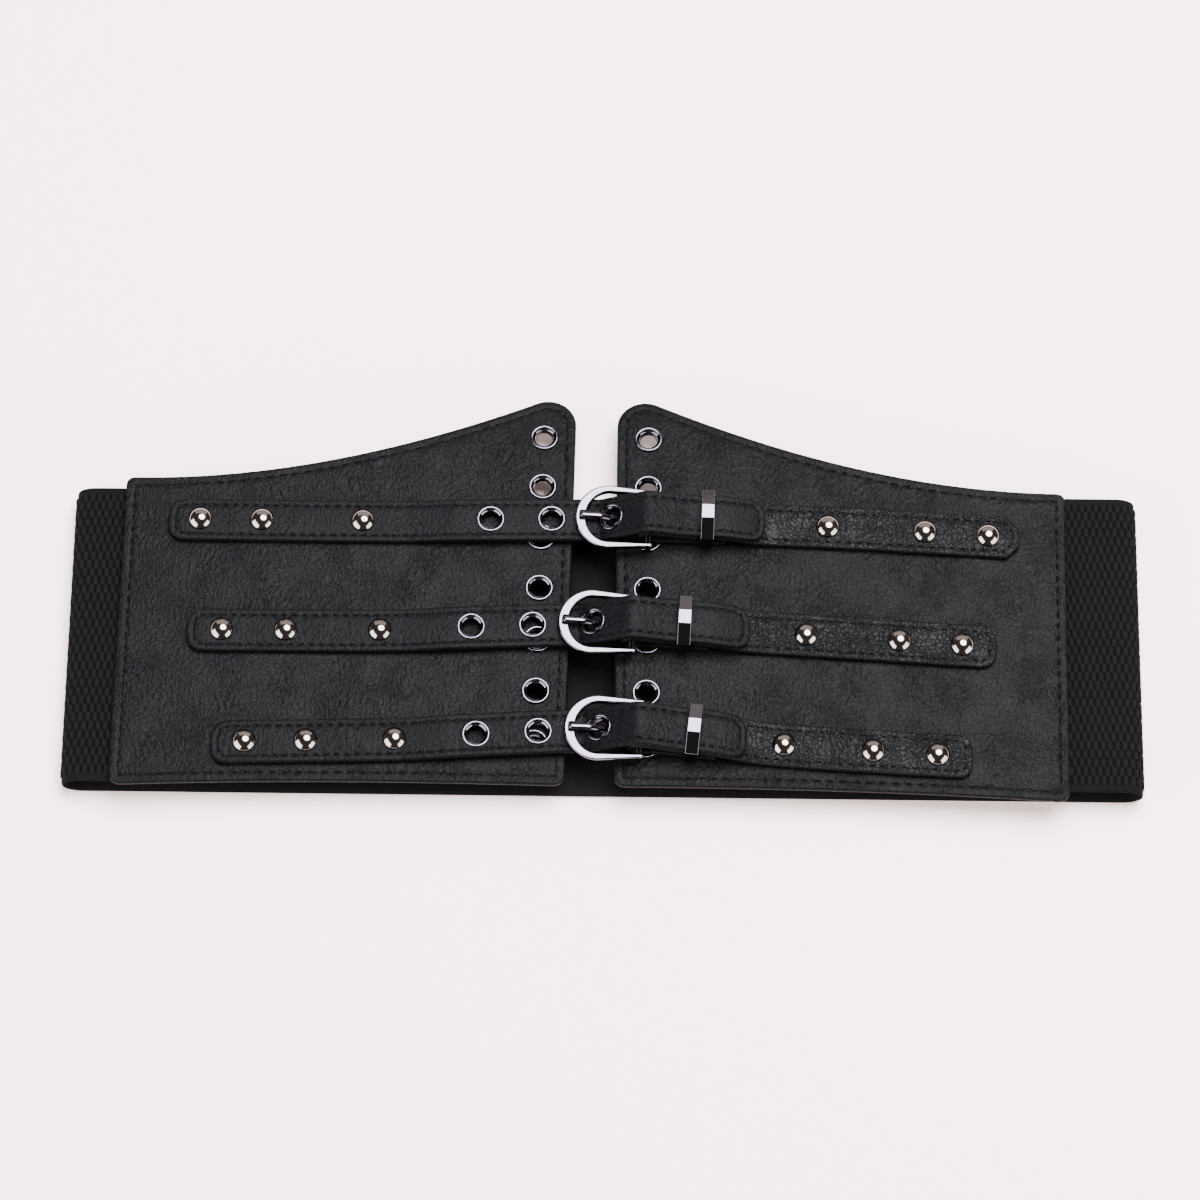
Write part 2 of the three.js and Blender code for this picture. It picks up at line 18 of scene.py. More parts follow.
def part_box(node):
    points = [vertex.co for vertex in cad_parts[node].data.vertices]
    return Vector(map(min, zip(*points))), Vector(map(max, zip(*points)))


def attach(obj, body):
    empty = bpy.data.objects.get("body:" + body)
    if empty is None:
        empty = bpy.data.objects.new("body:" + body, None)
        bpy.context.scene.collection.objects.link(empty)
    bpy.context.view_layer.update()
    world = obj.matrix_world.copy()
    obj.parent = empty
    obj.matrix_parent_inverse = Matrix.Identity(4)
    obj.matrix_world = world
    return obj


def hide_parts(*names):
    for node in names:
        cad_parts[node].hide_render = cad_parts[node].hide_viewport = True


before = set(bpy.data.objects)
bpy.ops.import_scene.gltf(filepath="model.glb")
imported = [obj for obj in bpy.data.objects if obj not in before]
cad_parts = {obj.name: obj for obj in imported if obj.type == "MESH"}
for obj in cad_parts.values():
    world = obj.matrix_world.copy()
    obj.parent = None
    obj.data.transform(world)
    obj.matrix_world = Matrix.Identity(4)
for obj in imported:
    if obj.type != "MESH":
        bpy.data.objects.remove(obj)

bl_info = {
    "name": "Corset belt",
    "version": (1, 0, 0),
    "blender": (4, 5, 0),
    "location": "View3D > Sidebar > Corset belt",
    "description": "Builds the leather, elastic and metal surfaces of a buckled corset belt",
    "category": "Object",
}

MM = 0.001

# Leather sheets: the round edge's reach as a share of half the thickness.
EDGE_SHARE = 0.6
# The seam's groove: half its width, how steep its sides are as a share of that, its depth, and the share of
# the depth that is left between two stitches.
GROOVE, GROOVE_SIDES, GROOVE_DEPTH, GROOVE_LEAST = 0.45 * MM, 0.6, 0.3 * MM, 0.35
# The low rim outside the groove: its place and width as shares of the seam's inset, and its rise.
RIM_PLACE, RIM_WIDTH, RIM_RISE = 0.45, 0.3, 0.03 * MM
# How far apart the pieces' patterns lie, in millimetres along the grain's third axis.
SEED_STEP = 37
# How soon the seam's pull on a sheet fades, inwards from the seam.
SEAM_FADE = 2 * MM

# Sewing thread: its radius, the length of a stitch as a share of the pitch, the sides of its section, its
# depth as a share of the groove's, and how far a stitch's ends dip, as a share of the thread's radius.
THREAD = 0.26 * MM
THREAD_SHARE = 0.62
THREAD_SIDES = 6
THREAD_SINK = 0.75
THREAD_DIP = 0.6
# A stitch's sections: the place along its half length, and the girth there as a share of the thread's.
STITCH = ((-1, 0.25), (-0.86, 0.75), (-0.5, 1), (0, 1), (0.5, 1), (0.86, 0.75), (1, 0.25))

# Sheets: the height of their soft waves and of their crown, and the spacing of the points inside them.
PANEL_WAVE, PANEL_CROWN, PANEL_SPACING = 0.3 * MM, 0.0, 1.4 * MM
STRAP_WAVE, STRAP_CROWN, STRAP_SPACING = 0.06 * MM, 0.1 * MM, 1.0 * MM
# Steps of the sheets' outlines, and the sides of the holes cut in them.
PANEL_STEP, STRAP_STEP, SLOT_STEP, HOLE_SIDES = 0.75 * MM, 0.6 * MM, 0.7 * MM, 20

# Elastic band: rows of points over its width, those of them that its plain inner face has, and the step round
# the waist where its ribs show and where they don't. The ribs start just under the panels and end past the
# folds, and fade out there.
BAND_ROWS = 237
BAND_INNER_ROWS = (0, 3, 6, 60, 118, 176, 230, 233, 236)
BAND_FINE, BAND_COARSE = 0.38 * MM, 5 * MM
RIBS_UNDER_PANEL, RIBS_PAST_FOLD, RIB_FADE = 2 * MM, 6 * MM, 2 * MM
# The band's round edge: its reach, and the thickness left at the edge as a share of the whole.
BAND_EDGE, BAND_EDGE_LEFT = 0.7 * MM, 0.35
# The ribs: half their width and the softness of their flanks as shares of half a cell, and how far they sink
# at the ends of a cell. The selvedge: how soft the step to it is, and its height as a share of a rib's.
RIB_HALF, RIB_FLANK, RIB_DIP = 0.62, 0.5, 0.55
SELVEDGE_SOFT, SELVEDGE_HEIGHT = 0.4 * MM, 0.6

# Buckle frame: the most of its width that an edge's rounding takes, the bevel of its back as a share of that
# width, the turns in degrees between which its round end has close steps for the notch, and the scale of the
# section at a leg's tip and how far the tip stands out.
FRAME_ROUND_MOST = 0.32
FRAME_BACK_BEVEL = 0.12
FRAME_CLOSE_TURN = (78, 102)
LEG_TIP_SCALE = (1, 0.55, 0.6)
LEG_TIP = 0.3 * MM
# The notch: where it starts, from the outer edge, as a share of the end band, and how soft its sides are.
NOTCH_START = 0.46
NOTCH_SOFT = 0.25 * MM
# The bar: its sections as shares of half its length and of its radius, the sides of a section, and how far
# its ends stay inside the leg tips, as a share of the tips' width.
BAR_ENDS = ((-1, 0.8), (-0.995, 1), (0.995, 1), (1, 0.8))
BAR_SIDES, BAR_INSIDE = 24, 0.1
# The prong: its shank bends at the heel, so many ring radii off the bar, and ends at the foot, on the ring.
# Both are turns about the bar. Its tip has the given girths at the given millimetres, and the shank follows.
PRONG_HEEL, PRONG_FOOT, PRONG_HEEL_REACH = math.radians(204), math.radians(240), 1.75
PRONG_TIP = ((0, 0.3), (0.06, 0.55), (0.2, 0.8), (0.45, 0.95), (0.8, 1))
PRONG_SHANK_START, PRONG_STEPS, PRONG_SIDES, PRONG_RING_STEPS = 1.3, 40, 20, 36

# Keeper: its room beside the strap as a multiple of the clearance, and the rounding of its edges.
KEEPER_CLEARANCE = 1.5
KEEPER_BEVEL = 0.42 * MM

# Studs and eyelets: the segments of their round forms, and the steps of a stud's dome.
ROUND_SEGMENTS = 40
DOME_STEPS = 18
# The crown's section, from its outer edge over the roll to its inner wall: the distance from the bore as a
# share of the crown's width, and the height above its seat as a share of its thickness.
CROWN = (
    (1.0, 0.0), (0.99, 0.45), (0.95, 0.8), (0.88, 0.97), (0.78, 1.0), (0.68, 0.96), (0.6, 0.82), (0.54, 0.58),
    (0.49, 0.25), (0.45, -0.15), (0.38, -0.9), (0.27, -1.8), (0.14, -2.7), (0.05, -3.3),
)

# Specular levels of the leather and the elastic.
LEATHER_SHINE, ELASTIC_SHINE = 0.028, 0.02
# The leather's patterns in millimetres: the size and the reach of the slow drift that moves them, and the
# sizes of the worn patches, the cells between long creases, the fine wrinkles and the pads.
DRIFT, DRIFT_REACH, PATCH, CREASE, WRINKLE, PAD = 12.5, 8.0, 50 / 3, 10 / 3, 1.0, 4 / 3
# The leathers: how much shinier than the panels' each one is, and how deep its grain is as a share of theirs.
Leather = namedtuple("Leather", "name gloss relief")
PANEL_LEATHER = Leather("leather cloth", 0.0, 1.0)
TONGUE_LEATHER = Leather("strap leather cloth", -0.002, 0.8)
LOOP_LEATHER = Leather("glossy strap leather cloth", 0.02, 1.6)
# Roughness of the plated metal, the studs, and the buckles' bars, which are painted dark as shade.
PLATE_ROUGH, STUD_ROUGH, BAR_SHADE_ROUGH = 0.09, 0.1, 0.3

# How far the floor lies under the belt, so that the two never share a plane.
FLOOR_GAP = 0.05 * MM
Lamp = namedtuple("Lamp", "name shape width height place power code")
LAMPS = (
    Lamp("overhead lamp", "DISK", 1.5, 1.5, (0.3, 0.42, 1.72), "top_power", "#FFFDFF"),
    Lamp("left lamp", "RECTANGLE", 1.7, 1.0, (-1.3, -0.75, 0.54), "left_power", "#FFFFFF"),
    Lamp("right lamp", "RECTANGLE", 1.4, 0.9, (1.25, -0.8, 0.5), "right_power", "#FFF7F0"),
    Lamp("rear lamp", "RECTANGLE", 3.0, 1.5, (0, 1.9, 0.95), "rear_power", "#DDD2CC"),
)


def length(label, millimetres, what):
    """A length property, given in millimetres and kept in metres."""
    return FloatProperty(
        name=label, description=what, default=millimetres * MM, min=0.0, unit="LENGTH", subtype="DISTANCE",
        precision=5,
    )


def angle(label, degrees, what):
    """An angle property, given in degrees."""
    return FloatProperty(
        name=label, description=what, default=math.radians(degrees), unit="ROTATION", subtype="ANGLE"
    )


def share(label, value, what):
    """A plain number property."""
    return FloatProperty(name=label, description=what, default=value, precision=3)


def colour(code):
    """A colour's sRGB hex code as linear RGBA."""
    parts = [int(code[i:i + 2], 16) / 255 for i in (1, 3, 5)]
    return (*(c / 12.92 if c <= 0.04045 else ((c + 0.055) / 1.055) ** 2.4 for c in parts), 1.0)


def tint(label, code, what):
    """A colour property, given as an sRGB hex code and kept linear."""
    return FloatVectorProperty(
        name=label, description=what, default=colour(code), size=4, min=0.0, max=1.0, subtype="COLOR"
    )


class CorsetBandSizes(bpy.types.PropertyGroup):
    """The elastic waist band and its weave."""

    width: length("Width", 99.2, "Width of the band along Y")
    span: length("Span", 339, "From fold to fold along X")
    thickness: length("Thickness", 2, "Thickness of the band")
    fold_height: length("Fold height", 11.4, "Height of the upper face above the lower one at a fold")
    fold_reach: length("Fold reach", 7, "How far a fold bulges out along X")
    shift: length("Shift", 3.7, "How far the band lies to the right of the front's middle")
    turn: angle("Turn", 0.45, "How far the band is turned from the front")
    selvedge: length("Selvedge", 2.3, "Width of the plain edge strips")
    selvedge_step: length("Selvedge step", 0.5, "How much thinner the selvedge is on each face")
    cell_length: length("Cell length", 2.26, "Pitch of the weave's cells round the waist")
    cell_height: length("Cell height", 2.88, "Pitch of the weave's rows along Y")
    relief: length("Relief", 0.5, "Height of the weave's cells")


class CorsetFrontSizes(bpy.types.PropertyGroup):
    """The two front panels."""

    clearance: length("Clearance", 0.3, "Gap between pieces that touch on the real belt")
    panel_width: length("Panel width", 142.5, "Width of a panel")
    panel_height: length("Panel height", 104, "Height of a panel at its side seam")
    panel_thickness: length("Panel thickness", 2, "Thickness of a panel")
    panel_drop: length("Panel drop", 0.7, "How far the panels sit below the band's middle")
    peak_rise: length("Peak rise", 30.7, "How far the peak rises above the side seam's top")
    peak_radius: length("Peak radius", 9, "Rounding of the peak")
    peak_slope: angle("Peak slope", 24, "Slope of the edge beside the peak")
    hem_rise: length("Hem rise", 2.6, "How much higher the hem is at the gap than at the side")
    hem_turn: share("Hem turn", 0.55, "Share of the reach at which the hem bends")
    top_corner: length("Top corner", 3, "Rounding of the upper side corner")
    hem_corner: length("Hem corner", 4, "Rounding of the lower corners")
    gap_top: length("Gap at the top", 13.2, "Gap between the panels at their peaks")
    gap_bottom: length("Gap at the bottom", 15.2, "Gap between the panels at their hem")
    seam_lap: length("Seam lap", 18, "Overlap of a panel and the band")
    sag: length("Sag", 1.2, "How far the front sinks between the folds")
    droop: length("Droop", 2.5, "How far the peaks bend down")
    stitch_inset: length("Stitch inset", 2.9, "Distance of the stitch line from the edge")
    stitch_pitch: length("Stitch pitch", 4.1, "Pitch of the stitches")


class CorsetStrapSizes(bpy.types.PropertyGroup):
    """The six straps."""

    width: length("Width", 14.3, "Width of a strap")
    thickness: length("Thickness", 2, "Thickness of a strap")
    corner: length("Corner", 6.2, "Length cut off at the corners of a strap's end")
    lift_length: length("Lift length", 15, "Length over which a strap rises onto the eyelets")
    lift_spare: length("Lift spare", 4, "Distance from the lift to the first eyelet")
    fold_back: length("Fold back", 24, "Length of the layer folded back under the buckle strap")
    set_down: length("Set down", 13, "Length over which the strap comes down past the folded layer")
    fold_join: length("Fold join", 13, "Distance from the bar to where the two layers meet")
    ease: length("Ease", 30, "Rounding of the strap's bends past the buckle")
    lift_ease: length("Lift ease", 3, "Rounding of the strap's bends before the buckle")
    eyelet_pitch: length("Eyelet pitch", 19.3, "Pitch of the strap's eyelets")
    eyelet_count: IntProperty(name="Eyelets", description="Eyelets in a strap", default=3, min=1)
    stitch_inset: length("Stitch inset", 2.2, "Distance of the stitch line from the edge")
    stitch_pitch: length("Stitch pitch", 3.3, "Pitch of the stitches")


class CorsetBuckleSizes(bpy.types.PropertyGroup):
    """Buckle frames, prongs and keepers."""

    frame_length: length("Frame length", 24.6, "Length of the frame along the strap")
    frame_width: length("Frame width", 21.4, "Width of the frame across the strap")
    frame_thickness: length("Frame thickness", 2.2, "Thickness of the frame")
    end_band: length("End band", 3.3, "Width of the frame's face at its round end")
    side_band: length("Side band", 2.2, "Width of the frame's face at its sides")
    tip_band: length("Leg tip band", 1.3, "Width of the leg tips")
    bar_radius: length("Bar radius", 1.1, "Radius of the bar")
    bar_spread: length("Bar spread", 19.2, "Distance over the leg tips")
    notch_width: length("Notch width", 2.8, "Width of the prong's notch")
    notch_depth: length("Notch depth", 0.7, "Depth of the prong's notch")
    notch_place: share("Notch place", 0.8, "Middle of the notch as a share of the end band")
    edge_round: length("Edge round", 0.45, "Rounding of the frame's edges")
    prong_width: length("Prong width", 2, "Width of the prong")
    prong_thickness: length("Prong thickness", 1.3, "Thickness of the prong")
    prong_level: length("Prong level", 7.8, "Length of the prong's level end")
    prong_dive: angle("Prong dive", 24.5, "Slope of the prong's middle part")
    prong_turn: length("Prong turn", 6, "Length of the prong's sloping part past its kink")
    prong_ease: length("Prong ease", 5, "Rounding of the prong's bends")
    slot_width: length("Slot width", 3.2, "Width of the strap's slot")
    slot_length: length("Slot length", 9, "Length of the strap's slot")
    keeper_length: length("Keeper length", 4.1, "Length of a keeper along the strap")
    keeper_thickness: length("Keeper thickness", 0.8, "Wall of a keeper")
    keeper_flat: length("Keeper flat", 4.6, "Width of the keeper's level facet")
    keeper_crown: length("Keeper crown", 3.5, "Rise of the keeper's sloping facets")


class CorsetFastenerSizes(bpy.types.PropertyGroup):
    """Studs and eyelets."""

    stud_radius: length("Stud radius", 3.65, "Radius of a stud")
    stud_height: length("Stud height", 2.3, "Height of a stud's dome")
    stud_rim: length("Stud rim", 0.35, "Height of the stud's upright rim")
    bore: length("Eyelet bore", 5.4, "Bore of an eyelet")
    barrel: length("Eyelet barrel", 0.3, "Wall of an eyelet's barrel")
    crown_radius: length("Crown radius", 4.35, "Outer radius of an eyelet's crown")
    crown_thickness: length("Crown thickness", 0.5, "Height of an eyelet's crown")
    flange_radius: length("Flange radius", 3.9, "Outer radius of an eyelet's flange")
    flange_thickness: length("Flange thickness", 0.3, "Thickness of an eyelet's flange")
    seat: length("Eyelet seat", 0.2, "Gap between an eyelet and its sheet")
    inset: length("Eyelet inset", 10, "Distance of an eyelet row from the panel's front edge")
    pitch: share("Eyelet pitch", 0.1675, "Pitch of an eyelet row as a share of the panel's height")
    peak_drop: length("Peak drop", 13.9, "Distance of the first eyelet below the peak")
    panel_count: IntProperty(name="Panel eyelets", description="Eyelets in a panel", default=7, min=1)


class CorsetColours(bpy.types.PropertyGroup):
    """Colours of the materials."""

    # Painted shade: the leather is painted darker in the cracks between its pads than on the pads.
    leather_crack_shade: tint("Leather, cracks", "#060607", "Colour between the leather's pads")
    leather_light: tint("Leather, pads", "#0A0B0D", "Colour on the leather's pads")
    thread: tint("Thread", "#030304", "Colour of the sewing thread")
    # Painted shade: the gaps between the elastic's ribs are painted darker than the ribs.
    elastic_gap_shade: tint("Elastic, gaps", "#040404", "Colour between the elastic's ribs")
    elastic_rib: tint("Elastic, ribs", "#0C0D0D", "Colour of the elastic's ribs")
    # Painted light: the inner face, seen in the shade between the panels, is painted lighter than the ribs.
    elastic_inside: tint("Elastic, inside", "#111010", "Colour of the elastic's inner face")
    plate: tint("Plate", "#514E56", "Colour of the plated buckle frames, prongs, keepers and eyelets")
    stud: tint("Studs", "#7A7471", "Colour of the plated studs")
    # Painted shade: the buckles' bars lie in shade and are painted nearly black.
    pin: tint("Pins", "#0C0C0D", "Colour of the buckles' bars")
    floor: tint("Floor", "#F9E4E3", "Colour of the floor")
    room: tint("Room", "#C9BDB6", "Colour of the room's light")


class CorsetStudio(bpy.types.PropertyGroup):
    """Camera, floor and lamps."""

    lens: share("Lens", 139.5, "Focal length in mm on a sensor 36 mm wide")
    distance: length("Distance", 1473.9, "Distance of the camera from the belt")
    tilt: angle("Tilt", 22, "Angle of the view from straight down")
    yaw: angle("Yaw", 1.15, "Angle by which the belt is turned in the picture")
    target: FloatVectorProperty(
        name="Target", description="Point of the belt's frame at the middle of the picture",
        default=(-1.5 * MM, -0.686 * MM, 8 * MM), unit="LENGTH", subtype="XYZ",
    )
    floor_size: length("Floor size", 6000, "Side of the floor")
    top_power: share("Overhead power", 205, "Power of the overhead lamp in watts")
    left_power: share("Left power", 70, "Power of the left lamp in watts")
    right_power: share("Right power", 48, "Power of the right lamp in watts")
    rear_power: share("Rear power", 28, "Power of the rear lamp in watts")
    ambient: share("Ambient", 0.28, "Strength of the room's light")


# Ends, bar and studs of a tier are shares of the panel's reach or width, its heights shares of the panel's
# height, and hole, keeper and tip shares of the frame's length. The right end's corners are a share of the
# strap's corner, and have the given number of facets.
Tier = namedtuple(
    "Tier", "name left_end right_end bar hole keeper tip turn left_stud right_stud heights corner facets"
)
TIERS = (
    Tier("top", 0.904, 0.9, 0.116, 0.476, 0.752, 1.496, -2.5, 0.433, 0.425,
         (0.853, 0.859, 0.877, 0.867, 0.841), 0.65, 1),
    Tier("middle", 0.852, 0.85, 0.085, 0.496, 0.663, 1.5, -2.5, 0.426, 0.42,
         (0.491, 0.502, 0.533, 0.512, 0.481), 1, 12),
    Tier("bottom", 0.79, 0.797, 0.103, 0.5, 0.691, 1.362, -1, 0.402, 0.412,
         (0.131, 0.153, 0.191, 0.157, 0.128), 0.85, 12),
)

GROUPS = {
    "corset_band": CorsetBandSizes,
    "corset_front": CorsetFrontSizes,
    "corset_strap": CorsetStrapSizes,
    "corset_buckle": CorsetBuckleSizes,
    "corset_fastener": CorsetFastenerSizes,
    "corset_colours": CorsetColours,
    "corset_studio": CorsetStudio,
}


class Levels:
    """Heights and lines that follow from the sizes, as the CAD source has them."""

    def __init__(self, scene):
        self.band, self.front, self.strap = scene.corset_band, scene.corset_front, scene.corset_strap
        self.buckle, self.fastener = scene.corset_buckle, scene.corset_fastener
        band, front, strap, buckle, fastener = self.band, self.front, self.strap, self.buckle, self.fastener
        gap = front.clearance
        self.panel_top = band.fold_height + gap + front.panel_thickness
        self.panel_low = -front.panel_drop - front.panel_height / 2
        self.panel_high = self.panel_low + front.panel_height
        self.peak = self.panel_high + front.peak_rise
        self.reach = (front.gap_top + front.gap_bottom) / 4 + front.panel_width
        self.crown_proud = fastener.seat + fastener.crown_thickness
        self.flange_reach = fastener.seat + fastener.flange_thickness
        self.hole_radius = fastener.bore / 2 + fastener.barrel + gap
        half = strap.thickness / 2
        self.low = gap + half
        self.high = self.crown_proud + gap + self.flange_reach + half
        frame_bottom = self.high + half + gap
        self.bar_height = frame_bottom + buckle.frame_thickness / 2
        self.fold_radius = buckle.bar_radius + 2 * gap + half
        self.tongue_radius = self.fold_radius + strap.thickness + gap
        self.keeper_bottom = self.low + half + gap
        self.kept = self.keeper_bottom + buckle.keeper_thickness + gap + half
        self.kept_tongue = self.kept + strap.thickness + gap
        notch_floor = frame_bottom + buckle.frame_thickness - buckle.notch_depth
        self.prong_height = notch_floor + gap + buckle.prong_thickness / 2
        self.shift = np.array([-band.shift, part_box("left_panel")[1].y - self.peak, 0.0])

    def drape(self, x, y):
        """How far the front lies below its flat plane."""
        across = np.minimum(1, np.abs(x) / (self.reach - self.front.seam_lap))
        past = np.maximum(0, (y - self.band.width / 2) / (self.peak - self.band.width / 2))
        return -self.front.sag * (1 - across**2) ** 2 - self.front.droop * past**2


def levels():
    """Levels for the sizes that the scene holds now."""
    return Levels(bpy.context.scene)


def rounded(corners, radius, steps=8):
    """A bent line with each corner rounded by up to the given radius."""
    corners = [np.array(c, float) for c in corners]
    line = [corners[0]]
    for before, corner, after in zip(corners, corners[1:], corners[2:]):
        a, b = before - corner, after - corner
        la, lb = np.linalg.norm(a), np.linalg.norm(b)
        turn = math.pi - math.acos(max(-1, min(1, a @ b / (la * lb))))
        cut = min(radius * math.tan(turn / 2), 0.45 * min(la, lb))
        if cut < 0.05 * MM:
            line.append(corner)
            continue
        start, end = corner + a / la * cut, corner + b / lb * cut
        for t in np.linspace(0, 1, steps + 1):
            line.append((1 - t) ** 2 * start + 2 * t * (1 - t) * corner + t**2 * end)
    return np.array(line + [corners[-1]])


def curve_to(start, control, end, steps=12):
    """Points of a quadratic curve after its start."""
    t = np.linspace(0, 1, steps + 1)[1:, None]
    start, control, end = (np.array(p, float) for p in (start, control, end))
    return list((1 - t) ** 2 * start + 2 * t * (1 - t) * control + t**2 * end)


def arc(centre, radius, start, end, steps):
    """Points of a circle from one angle to another."""
    t = np.linspace(start, end, steps + 1)
    return np.stack([centre[0] + radius * np.cos(t), centre[1] + radius * np.sin(t)], 1)


def touch(point, centre, radius, side):
    """Angle at which a line from a point touches the upper side of a circle."""
    away = np.array(point) - centre
    turn = math.atan2(away[1], side * away[0]) + math.acos(radius / np.linalg.norm(away))
    return turn if side > 0 else math.pi - turn


def resample(line, step, closed=False):
    """The same line with points at about equal steps, as many as keep its corners apart."""
    line = np.array(line)
    if closed:
        line = np.vstack([line, line[:1]])
    run = np.concatenate([[0], np.cumsum(np.linalg.norm(np.diff(line, axis=0), axis=1))])
    count = max(2, round(run[-1] / step))
    at = np.linspace(0, run[-1], count + 1)
    found = np.stack([np.interp(at, run, line[:, k]) for k in range(line.shape[1])], 1)
    return found[:-1] if closed else found


class Path:
    """A middle line in x and z that can be walked by its own length."""

    def __init__(self, line):
        keep = np.concatenate([[True], np.linalg.norm(np.diff(line, axis=0), axis=1) > 1e-7])
        self.line = np.array(line)[keep]
        self.run = np.concatenate([[0], np.cumsum(np.linalg.norm(np.diff(self.line, axis=0), axis=1))])
        self.length = self.run[-1]
        fine = np.linspace(0, self.length, 1500)
        point = self.at(fine)
        tangent = np.gradient(point, axis=0)
        tangent /= np.linalg.norm(tangent, axis=1)[:, None]
        self.fine, self.tangent = fine, tangent

    def at(self, s):
        """Point at each length."""
        return np.stack([np.interp(s, self.run, self.line[:, k]) for k in (0, 1)], -1)

    def frame(self, s):
        """Point and upward normal at each length."""
        t = np.stack([np.interp(s, self.fine, self.tangent[:, k]) for k in (0, 1)], -1)
        t /= np.linalg.norm(t, axis=-1)[..., None]
        return self.at(s), np.stack([-t[..., 1], t[..., 0]], -1)

    def where(self, x, last=True):
        """Length at which the line reaches x, the last time it does."""
        before = self.line[:-1, 0]
        after = self.line[1:, 0]
        hits = np.flatnonzero((np.minimum(before, after) <= x) & (np.maximum(before, after) >= x))
        i = hits[-1] if last else hits[0]
        span = after[i] - before[i]
        part = 0 if abs(span) < 1e-12 else (x - before[i]) / span
        return self.run[i] + part * (self.run[i + 1] - self.run[i])


def panel_outline(lv):
    """Plan outline of the right panel in its own frame."""
    f = lv.front
    hem, in_low = lv.panel_low + f.hem_rise, f.gap_bottom / 2
    centre = np.array([f.gap_top / 2 + f.peak_radius, lv.peak - f.peak_radius])
    shoulder = centre + f.peak_radius * np.array([math.sin(f.peak_slope), math.cos(f.peak_slope)])
    waist = shoulder[0] + (shoulder[1] - lv.panel_high) / math.tan(f.peak_slope)
    r, t = f.hem_corner, f.top_corner
    line = [np.array([in_low, hem + r])]
    line += curve_to(line[-1], (in_low, hem), (in_low + r, hem))
    hem_bend = (lv.reach * f.hem_turn, hem + f.hem_rise / 4)
    line += curve_to(line[-1], hem_bend, (lv.reach - r, lv.panel_low), 60)
    line += curve_to(line[-1], (lv.reach, lv.panel_low), (lv.reach, lv.panel_low + r))
    line += [np.array([lv.reach, lv.panel_high - t])]
    line += curve_to(line[-1], (lv.reach, lv.panel_high), (lv.reach - t, lv.panel_high))
    line += curve_to(line[-1], (waist, lv.panel_high), shoulder, 80)
    line += list(arc(centre, f.peak_radius, math.pi / 2 - f.peak_slope, math.pi, 24)[1:])
    return np.array(line)


def panel_eyelets(lv, side):
    """Plan places of a panel's eyelets."""
    f, e = lv.front, lv.fastener
    y = lv.peak - e.peak_drop - np.arange(e.panel_count) * e.pitch * f.panel_height
    edge = (f.gap_top + (f.gap_bottom - f.gap_top) * (lv.peak - y) / (lv.peak - lv.panel_low)) / 2
    return np.stack([side * (edge + e.inset), y], 1)


